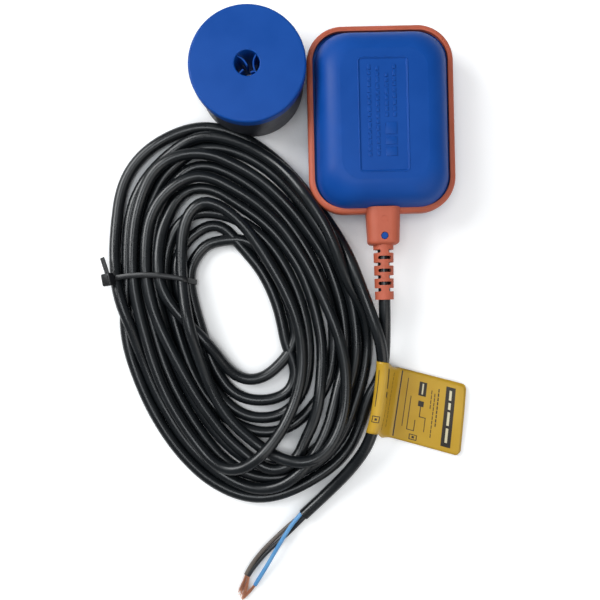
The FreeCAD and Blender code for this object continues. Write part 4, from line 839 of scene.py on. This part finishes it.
def on_line(across):
    """Where the label's line is at a distance from its free end: to the right, and height."""
    return Vector([float(np.interp(across, LABEL_RUNS, LABEL_LINE[:, axis])) for axis in (0, 1)])


def label_axis(down):
    """The cable's middle line under the label, at a distance down in mm."""
    top = np.linalg.norm(cable_line[-LABEL_SEARCH:] - np.array(LABEL_TOP), axis=1)
    first = len(cable_line) - LABEL_SEARCH + int(np.argmin(top))
    part = cable_line[first - LABEL_BEFORE :]
    runs = distances(part)
    start = runs[LABEL_BEFORE] + down
    return Vector([float(np.interp(start, runs, part[:, axis])) for axis in range(3)])


def label_place(across, down, lift=0.0):
    """A point of the label: how far along its line from the free end and down the cable, in mm."""
    here = on_line(across)
    along = on_line(across + SLOPE_STEP) - here
    along = along.normalized() if along.length > 0 else Vector((-1, 0))
    x = here[0] + lift * along[1]
    z = here[1] - lift * along[0]
    share = down / LABEL_LENGTH
    flat = min(1.0, max(0.0, (x - CABLE_RADIUS) / (LABEL_FLAT_FROM - CABLE_RADIUS)))
    middle = label_axis(down - WRAP_UP * (1 - flat))
    top = label_axis(0.0)
    end = label_axis(LABEL_LENGTH)
    straight = top + (end - top) * share
    middle = middle * (1 - flat) + straight * flat
    down_run = (end - top).normalized()
    wave = 1 + math.sin(math.pi * share * CURL_WAVE + CURL_START)
    curl = CURL * (x / CURL_REACH) ** 2 * wave if x > 0 else 0.0
    slip = SLIP * max(0.0, across - LABEL_WHOLE * SLIP_FROM) / (LABEL_WHOLE * (1 - SLIP_FROM))
    beyond = max(0.0, x - LABEL_FLAT_FROM) / (FRONT_LEAF[0][0] - LABEL_FLAT_FROM)
    x += LABEL_FAN * share * beyond
    lower = LABEL_TURN * max(0.0, x - LABEL_FLAT_FROM) - slip
    place = middle + Vector(LABEL_RIGHT) * x + down_run * lower
    place[2] = (middle[2] + z - LABEL_AXIS_HEIGHT) * (1 - flat) + z * flat + curl
    return place


def make_label():
    """The yellow leaf with its round corners, folded round the cable."""

    def place(column, line):
        across = LABEL_WHOLE * column
        near_end = min(across, LABEL_WHOLE - across)
        inset = 0.0
        if near_end < LABEL_CORNER:
            inset = LABEL_CORNER - math.sqrt(LABEL_CORNER**2 - (LABEL_CORNER - near_end) ** 2)
        return label_place(across, inset + (LABEL_LENGTH - 2 * inset) * line)

    leaf = sheet("folded_label", int(LABEL_WHOLE / LABEL_COLUMN), LABEL_ROWS, place)
    thicken = leaf.modifiers.new("thickness", "SOLIDIFY")
    thicken.thickness = FILM_THICKNESS * MM
    thicken.offset = 0.0
    return leaf


# Printed shapes on the label, and one painted shade line along the bottom of its fold: distance from the
# free end, distance down, width and length in mm
DARK_BARS_AND_FOLD_SHADE = [
    (8.4, 21.8, 5.8, 37.0),
    (15.6, 18.0, 0.7, 24.0),
    (17.8, 23.5, 0.5, 28.0),
    (19.8, 14.0, 0.5, 12.0),
    (25.5, 9.0, 4.6, 8.6),
    (25.5, 18.2, 3.4, 3.4),
    (25.5, 23.2, 0.5, 6.6),
    (23.7, 26.2, 4.1, 0.5),
    (21.9, 30.6, 0.45, 8.6),
    (27.8, 32.4, 0.45, 7.0),
    (29.9, 35.7, 4.6, 0.45),
    (32.0, 25.4, 0.45, 21.0),
    (35.0, 19.5, 0.4, 30.0),
    (27.8, 38.2, 4.2, 0.5),
    (27.8, 41.2, 4.2, 0.5),
    (25.7, 39.7, 0.5, 3.4),
    (29.9, 39.7, 0.5, 3.4),
    (27.8, 39.7, 1.4, 1.4),
    # Painted shade along the bottom of the fold, not print
    (39.4, 21.5, 0.8, 41.0),
    (49.0, 20.0, 0.9, 34.0),
    (57.0, 28.0, 0.6, 24.0),
    (59.4, 9.4, 1.5, 12.0),
    (59.4, 19.0, 1.7, 3.4),
    (66.4, 16.0, 0.5, 22.0),
    (64.6, 32.6, 4.2, 0.5),
    (64.6, 36.2, 4.2, 0.5),
    (62.5, 34.4, 0.5, 3.9),
    (66.7, 34.4, 0.5, 3.9),
    (64.6, 34.4, 1.4, 1.4),
]
# The bars at these distances are broken into short dashes
DASHED = (15.6, 17.8, 19.8, 49.0, 57.0)
DASH_LENGTH = 2.6
DASH_GAP = 0.55
LIGHT_BARS = [
    (25.5, 9.0, 0.9, 6.6),
    (8.4, 8.4, 1.5, 6.0),
    (8.4, 15.0, 1.5, 4.2),
    (8.4, 22.8, 1.5, 8.4),
    (8.4, 33.2, 1.5, 9.0),
]
DARK_BAR_LIFT = 0.12
LIGHT_LIFT = 0.15
BAR_COLUMN = 0.7
BAR_ROW = 1.2


def label_bar(name, across, down, wide, long, lift):
    """A thin bar on the label, about its middle; the print and the painted shade line along the fold are
    made of these.
    """
    left = across - wide / 2
    right = across + wide / 2
    top = down - long / 2
    foot = down + long / 2

    def place(column, line):
        here = left * (1 - column) + right * column
        return label_place(here, top * (1 - line) + foot * line, lift)

    columns = max(1, round((right - left) / BAR_COLUMN))
    return sheet(name, columns, max(1, round((foot - top) / BAR_ROW)), place)


def make_print_and_fold_shade():
    """Dark printed shapes, rows of short dashes and a painted shade line along the fold on the label, and
    light shapes over them.
    """
    dark = []
    for across, down, wide, long in DARK_BARS_AND_FOLD_SHADE:
        pieces = int(long / DASH_LENGTH) if across in DASHED else 1
        part = long / pieces - DASH_GAP if across in DASHED else long
        for piece in range(pieces):
            middle = down - long / 2 + (piece + 0.5) * long / pieces
            dark.append(label_bar("ink", across, middle, wide, part, DARK_BAR_LIFT))
    light = [label_bar("light", *place, LIGHT_LIFT) for place in LIGHT_BARS]
    return join_up("label_print_and_fold_shade", dark), join_up("label_light_print", light)


label = make_label()
set_on_housing(label, "yellow_film", "wiring_label")
# The dark print carries a painted shade line along the bottom of the fold
ink, light_ink = make_print_and_fold_shade()
for label_bars, finish in ((ink, "label_ink"), (light_ink, "label_light")):
    dress(label_bars, finish)
    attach(label_bars, "housing")

# The three cores and their bare copper, read off the photo: pixels across and down, height in mm
BLUE = [
    (301.6, 513.0, 4.4), (292.4, 523.5, 4.9), (284, 536.5, 5.3), (276, 550, 5.2),
    (268, 564, 3.8), (260, 577, 2.2), (255, 585, 1.6),
]
BLACK = [
    (305, 516.6, 4.0), (295.5, 526.2, 2.6), (285, 536.4, 1.6), (275.4, 544.4, 1.4),
    (266.2, 552.9, 1.3), (258.6, 561.6, 1.3), (252, 570, 1.3), (248.4, 575.6, 1.3),
]
BROWN = [
    (302.8, 514.2, 2.0), (292, 522.5, 1.6), (282.5, 531, 1.4), (273, 540, 1.3),
    (263, 550, 1.3), (255.5, 559, 1.3), (249.8, 567.5, 1.3), (246, 574.5, 1.3),
]
BLUE_COPPER = [(255.6, 583.8, 1.6), (251.6, 589.2, 1.4), (246.6, 594.6, 1.0), (241.8, 598.4, 0.6)]
BLACK_COPPER = [(248.9, 574.8, 1.3), (247.6, 581.0, 1.5), (245.6, 589.5, 1.7), (242.8, 597.6, 1.8)]
BROWN_COPPER = [(246.6, 573.5, 1.3), (244.9, 579, 1.1), (242.3, 586, 0.9), (239.4, 592.4, 0.7)]
CORE_INSIDE = 3.0
CORE_STEP = 3.0
CORE_DETAIL = 4
CORE_SIDES = 4
# The copper wires of a core, sizes in mm: they lie evenly over its round end, and some stray
STRANDS_PER_CORE = 24
WIRE_RADIUS = 0.14
BUNDLE_RADIUS = 0.72
WIRE_STEP = 1.6
WIRE_DETAIL = 3
WIRE_SIDES = 1
EVEN_TURN = 0.381966
LONG_STRAY = 1.7
SHORT_STRAY = 0.45
STRAY_EVERY = 6
STRAY_RISE = 0.3
SHORTEST_BY = 3
TWIST = 1.8
SPLAY = 0.35
BLUE_SEED = 3
BLACK_SEED = 5
BROWN_SEED = 8


def make_core(name, route, finish, node):
    """One core's insulation as a smooth cord through its route."""
    line = [row(*point) for point in route]
    inward = cable_line[-3] - cable_line[-1]
    inward *= CORE_INSIDE / np.linalg.norm(inward)
    curve = round_curve(name, CORE_RADIUS, CORE_SIDES)
    add_spline(curve, even([tuple(np.array(line[0]) + inward)] + line, CORE_STEP), CORE_DETAIL)
    core = new_thing(name, curve)
    set_on_housing(core, finish, node)
    return core


def make_copper(name, route, node, seed):
    """The bare strands at one core's end, twisted a little and splayed."""
    chance = np.random.default_rng(seed)
    line = even([row(*point) for point in route], WIRE_STEP)
    runs = np.gradient(line, axis=0)
    runs /= np.linalg.norm(runs, axis=1)[:, None]
    curve = round_curve(name, WIRE_RADIUS, WIRE_SIDES)
    for strand in range(STRANDS_PER_CORE):
        angle = math.tau * (strand * EVEN_TURN)
        reach = BUNDLE_RADIUS * math.sqrt((strand + 0.5) / STRANDS_PER_CORE)
        stray = chance.normal(0, 1) * (LONG_STRAY if strand % STRAY_EVERY == 0 else SHORT_STRAY)
        rise = abs(chance.normal(0, 1)) * STRAY_RISE
        points = []
        for step in range(len(line) - int(chance.integers(0, SHORTEST_BY))):
            share = step / (len(line) - 1)
            turned = angle + TWIST * share
            spread_out = reach * (1 + SPLAY * share)
            side = np.cross(runs[step], (0, 0, 1))
            side /= np.linalg.norm(side)
            across = spread_out * math.cos(turned) + stray * share**2
            height = spread_out * math.sin(turned) + rise * share**2
            place = line[step] + side * across + np.array((0, 0, height))
            place[2] = max(place[2], WIRE_RADIUS)
            points.append(place)
        add_spline(curve, points, WIRE_DETAIL)
    copper = new_thing(name, curve)
    set_on_housing(copper, "bare_copper", node)
    return copper


wires = [
    make_core("blue_wire", BLUE, "blue_insulation", "blue_core"),
    make_core("black_wire", BLACK, "black_insulation", "black_core"),
    make_core("brown_wire", BROWN, "brown_insulation", "brown_core"),
    make_copper("blue_copper", BLUE_COPPER, "blue_strands", BLUE_SEED),
    make_copper("black_copper", BLACK_COPPER, "black_strands", BLACK_SEED),
    make_copper("brown_copper", BROWN_COPPER, "brown_strands", BROWN_SEED),
]

# The float's front shell as the photo shows it, in mm: height, half width, half length, corner radius
SHELL_RINGS = [
    (19.0, 38.3, 50.9, 17.2),
    (22.0, 38.4, 51.0, 17.4),
    (25.0, 38.2, 50.8, 17.6),
    (28.0, 37.6, 50.1, 17.8),
    (31.0, 36.6, 49.1, 17.9),
    (33.5, 35.4, 47.9, 18.0),
    (35.6, 33.9, 46.3, 17.6),
    (37.4, 31.9, 44.2, 16.6),
    (38.8, 29.4, 41.6, 15.0),
    (39.7, 26.8, 38.9, 13.0),
    (40.0, 24.6, 36.6, 11.5),
]
SHELL_MIDDLE = (0.0, -1.2)
SHELL_WALL = 2.0
PANEL_MIDDLE = (-0.65, -1.7)
PANEL_HALF = (13.5, 31.6)
PANEL_CORNER = 1.6
PANEL_DEPTH = 0.45
PANEL_BEVEL = 0.5
BEAD_RADIUS = 0.42
BEAD_OUT = 0.4
BEAD_SUNK = 0.14
BEAD_SIDES = 3
CORNER_STEPS = 12


def rounded_outline(middle, half_x, half_y, corner, height):
    """Points round a rectangle with round corners, at a height."""
    points = []
    for turn, (side_x, side_y) in enumerate(((1, 1), (-1, 1), (-1, -1), (1, -1))):
        for step in range(CORNER_STEPS + 1):
            angle = math.pi / 2 * (turn + step / CORNER_STEPS)
            x = middle[0] + side_x * (half_x - corner) + corner * math.cos(angle)
            y = middle[1] + side_y * (half_y - corner) + corner * math.sin(angle)
            points.append((x, y, height))
    return points


def make_dome():
    """The dome with its sunk panel, an open shell with a wall."""
    rings = []
    for height, half_x, half_y, corner in cut_corners(SHELL_RINGS, CUTS):
        rings.append(rounded_outline(SHELL_MIDDLE, half_x, half_y, corner, height))
    top = SHELL_RINGS[-1][0]
    half_x, half_y = PANEL_HALF
    rings.append(rounded_outline(PANEL_MIDDLE, half_x, half_y, PANEL_CORNER, top))
    low = [half_x - PANEL_BEVEL, half_y - PANEL_BEVEL, PANEL_CORNER - PANEL_BEVEL, top - PANEL_DEPTH]
    rings.append(rounded_outline(PANEL_MIDDLE, *low))
    count = len(rings[0])
    faces = ring_faces(len(rings), count) + [last_ring(len(rings), count)]
    made = mesh_thing("dome", [corner for ring in rings for corner in ring], faces)
    # The panel, its bevelled edge and the level top round it are shaded flat
    flat_from = (len(rings) - 3) * count
    for index, face in enumerate(made.data.polygons):
        face.use_smooth = index < flat_from
    wall = made.modifiers.new("wall", "SOLIDIFY")
    wall.thickness = SHELL_WALL * MM
    wall.offset = -1.0
    walled = made.evaluated_get(bpy.context.evaluated_depsgraph_get())
    mesh = bpy.data.meshes.new_from_object(walled)
    made.modifiers.clear()
    made.data = mesh
    return made


def make_bead():
    """The round bead that frames the panel."""
    half_x, half_y = PANEL_HALF
    height = SHELL_RINGS[-1][0] - BEAD_SUNK
    outline = rounded_outline(
        PANEL_MIDDLE, half_x + BEAD_OUT, half_y + BEAD_OUT, PANEL_CORNER + BEAD_OUT, height
    )
    curve = round_curve("bead", BEAD_RADIUS, BEAD_SIDES)
    spline = curve.splines.new("POLY")
    spline.points.add(len(outline) - 1)
    for place, point in zip(spline.points, outline):
        place.co = (point[0] * MM, point[1] * MM, point[2] * MM, 1)
    spline.use_cyclic_u = True
    line = new_thing("bead", curve)
    mesh = bpy.data.meshes.new_from_object(line)
    bpy.data.objects.remove(line)
    shade(mesh)
    return new_thing("bead_mesh", mesh)


# The blue pin in the boot, sizes in mm: its face lies a little under the rubber, with a round edge
PIN_PLACE = (0.0, -68.5)
PIN_RADIUS = 2.0
PIN_UNDER = 0.3
PIN_SIDES = 40
PIN_FOOT = 20.0
PIN_EDGE = 0.25
PIN_CORNER = 0.08
PIN_LOOK_FROM = 60.0


def make_pin():
    """The pin, up to just under the boot's upper face beside it."""
    tree = solid_tree(["seal_band"])
    start = Vector((PIN_PLACE[0] + 2 * PIN_RADIUS, PIN_PLACE[1], PIN_LOOK_FROM))
    top = tree.ray_cast(start, Vector((0, 0, -1)))[0][2] - PIN_UNDER
    rings = [
        (PIN_FOOT, PIN_RADIUS),
        (top - PIN_EDGE, PIN_RADIUS),
        (top - PIN_CORNER, PIN_RADIUS - PIN_CORNER),
        (top, PIN_RADIUS - PIN_EDGE),
    ]
    corners = []
    for height, radius in rings:
        for step in range(PIN_SIDES):
            angle = math.tau * step / PIN_SIDES
            x = PIN_PLACE[0] + radius * math.cos(angle)
            corners.append((x, PIN_PLACE[1] + radius * math.sin(angle), height))
    faces = ring_faces(len(rings), PIN_SIDES) + [last_ring(len(rings), PIN_SIDES)]
    return mesh_thing("boot_pin", corners, faces, False)


dome = join_up("float_dome", [make_dome(), make_bead(), make_pin()])
set_on_housing(dome, "blue_plastic", "front_shell")

# Raised plain marks on the float's panel, in mm: place across, start and end along, width, length and gap
PANEL_ROWS = [
    (-8.6, -25.0, 25.0, 1.8, 2.4, 0.9),
    (-3.9, -25.0, 25.0, 1.8, 2.4, 0.9),
    (3.4, -25.0, -8.0, 6.4, 5.4, 1.5),
    (1.2, -3.0, 20.0, 1.8, 2.4, 0.9),
    (5.6, -3.0, 24.0, 1.8, 2.4, 0.9),
]
MARK_HEIGHT = 0.5
MARK_STAND = 0.12
MARK_EDGE = 0.15
MARK_SHORTEST = 0.75
MARK_LONGEST = 1.3
MARK_SEED = 11


def make_marks():
    """Rows of small raised blocks."""
    height = SHELL_RINGS[-1][0] - PANEL_DEPTH + MARK_STAND
    blocks = []
    chance = np.random.default_rng(MARK_SEED)
    for across, start_y, end_y, wide, long, gap in PANEL_ROWS:
        y = start_y
        while y < end_y:
            part = long * chance.uniform(MARK_SHORTEST, MARK_LONGEST)
            middle = (across, y + part / 2, height)
            blocks.append(rounded_block("mark", middle, (wide, part, MARK_HEIGHT), MARK_EDGE))
            y += part + gap
    return join_up("panel_marks", blocks)


marks = make_marks()
set_on_housing(marks, "blue_plastic")

# Studio light: each soft lamp's name, place in metres, width in metres, power and colour
LAMPS = [
    ("window", (-0.72, 0.3, 0.62), 0.5, 6.8, (0.97, 0.99, 1.0)),
    ("overhead", (-0.14, -0.08, 0.9), 0.36, 2.1, (0.93, 0.97, 1.0)),
    ("fill", (0.7, -0.7, 0.8), 1.0, 4.0, (1.0, 0.98, 0.95)),
]
LAMP_TARGET = (-0.05, -0.1, 0.0)
WHITE = (1, 1, 1, 1)
SKY = (0.9, 0.95, 1.0, 1)
SKY_STRENGTH = 0.24


def set_light():
    """A pale world that the camera sees as white, and the soft lamps."""
    scene = bpy.context.scene
    scene.view_settings.view_transform = "Standard"
    world = bpy.data.worlds.new("studio")
    scene.world = world
    world.use_nodes = True
    tree = world.node_tree
    tree.nodes.clear()
    seen = add(tree, "ShaderNodeLightPath").outputs["Is Camera Ray"]
    soft = add(tree, "ShaderNodeBackground", {"Color": SKY, "Strength": SKY_STRENGTH})
    bright = add(tree, "ShaderNodeBackground", {"Color": WHITE, "Strength": 1.0})
    both = {"Fac": seen, 1: soft.outputs["Background"], 2: bright.outputs["Background"]}
    mix = add(tree, "ShaderNodeMixShader", {}, both)
    add(tree, "ShaderNodeOutputWorld", {}, {"Surface": mix.outputs["Shader"]})
    for name, place, width, power, colour in LAMPS:
        data = bpy.data.lights.new(name, "AREA")
        data.shape = "RECTANGLE"
        data.size = width
        data.size_y = width
        data.energy = power
        data.color = colour
        lamp = new_thing(name, data)
        lamp.location = place
        aim = Vector(LAMP_TARGET) - Vector(place)
        lamp.rotation_euler = aim.to_track_quat("-Z", "Y").to_euler()


# The floor, matt white paper with a fine grain, in mm, that hardly shows
FLOOR_COLOURS = ("F7F7F7", "F9F9F9")
FLOOR_GRAIN = 2.5
# To the camera it glows a little where it lies open, which keeps the shadow near the object, and more
# with its distance from the row, so that it is white to its edge. Sizes in metres.
FLOOR_HALF = 1.6
FLOOR_DROP = 0.0002
FLOOR_ROUGH = 0.9
FLOOR_LIFT = 0.34
FLOOR_SHELTER = 0.03
SHELTER_RANGE = (0.35, 0.95)
SHELTER_SAMPLES = 8
FLOOR_NEAR = 0.3
FLOOR_FAR = 0.9
FAR_LIFT = 0.66


def add_floor():
    """A plain floor of matt white paper."""
    sides = ((-1, -1), (1, -1), (1, 1), (-1, 1))
    mesh = bpy.data.meshes.new("floor")
    mesh.from_pydata([(x * FLOOR_HALF, y * FLOOR_HALF, -FLOOR_DROP) for x, y in sides], [], [(0, 1, 2, 3)])
    floor = new_thing("floor", mesh)
    made = start_material("matt_white_paper")
    tree = made.node_tree
    place = add(tree, "ShaderNodeTexCoord").outputs["Object"]
    grain = add(tree, "ShaderNodeTexNoise", {"Scale": METRE / FLOOR_GRAIN}, {"Vector": place})
    colour = add(tree, "ShaderNodeValToRGB", {}, {"Fac": grain.outputs["Fac"]})
    set_stops(colour, FLOOR_COLOURS)
    seen = add(tree, "ShaderNodeLightPath").outputs["Is Camera Ray"]
    shelter = {"Distance": FLOOR_SHELTER, "samples": SHELTER_SAMPLES}
    open_air = add(tree, "ShaderNodeAmbientOcclusion", shelter).outputs["AO"]
    opened = add(tree, "ShaderNodeMapRange", limits(*SHELTER_RANGE, 0.0, FLOOR_LIFT), {"Value": open_air})
    away = add(tree, "ShaderNodeVectorMath", {"operation": "LENGTH"}, {"Vector": place}).outputs["Value"]
    far = add(tree, "ShaderNodeMapRange", limits(FLOOR_NEAR, FLOOR_FAR, 0.0, FAR_LIFT), {"Value": away})
    both = {0: opened.outputs["Result"], 1: far.outputs["Result"]}
    glow = add(tree, "ShaderNodeMath", {"operation": "ADD"}, both).outputs["Value"]
    lifted = add(tree, "ShaderNodeMath", {"operation": "MULTIPLY"}, {0: seen, 1: glow})
    shader = add(
        tree,
        "ShaderNodeBsdfPrincipled",
        {"Roughness": FLOOR_ROUGH, "Emission Color": WHITE},
        {
            "Base Color": colour.outputs["Color"],
            "Emission Strength": lifted.outputs["Value"],
        },
    )
    add(tree, "ShaderNodeOutputMaterial", {}, {"Surface": shader.outputs["BSDF"]})
    floor.data.materials.append(made)


set_light()
add_floor()
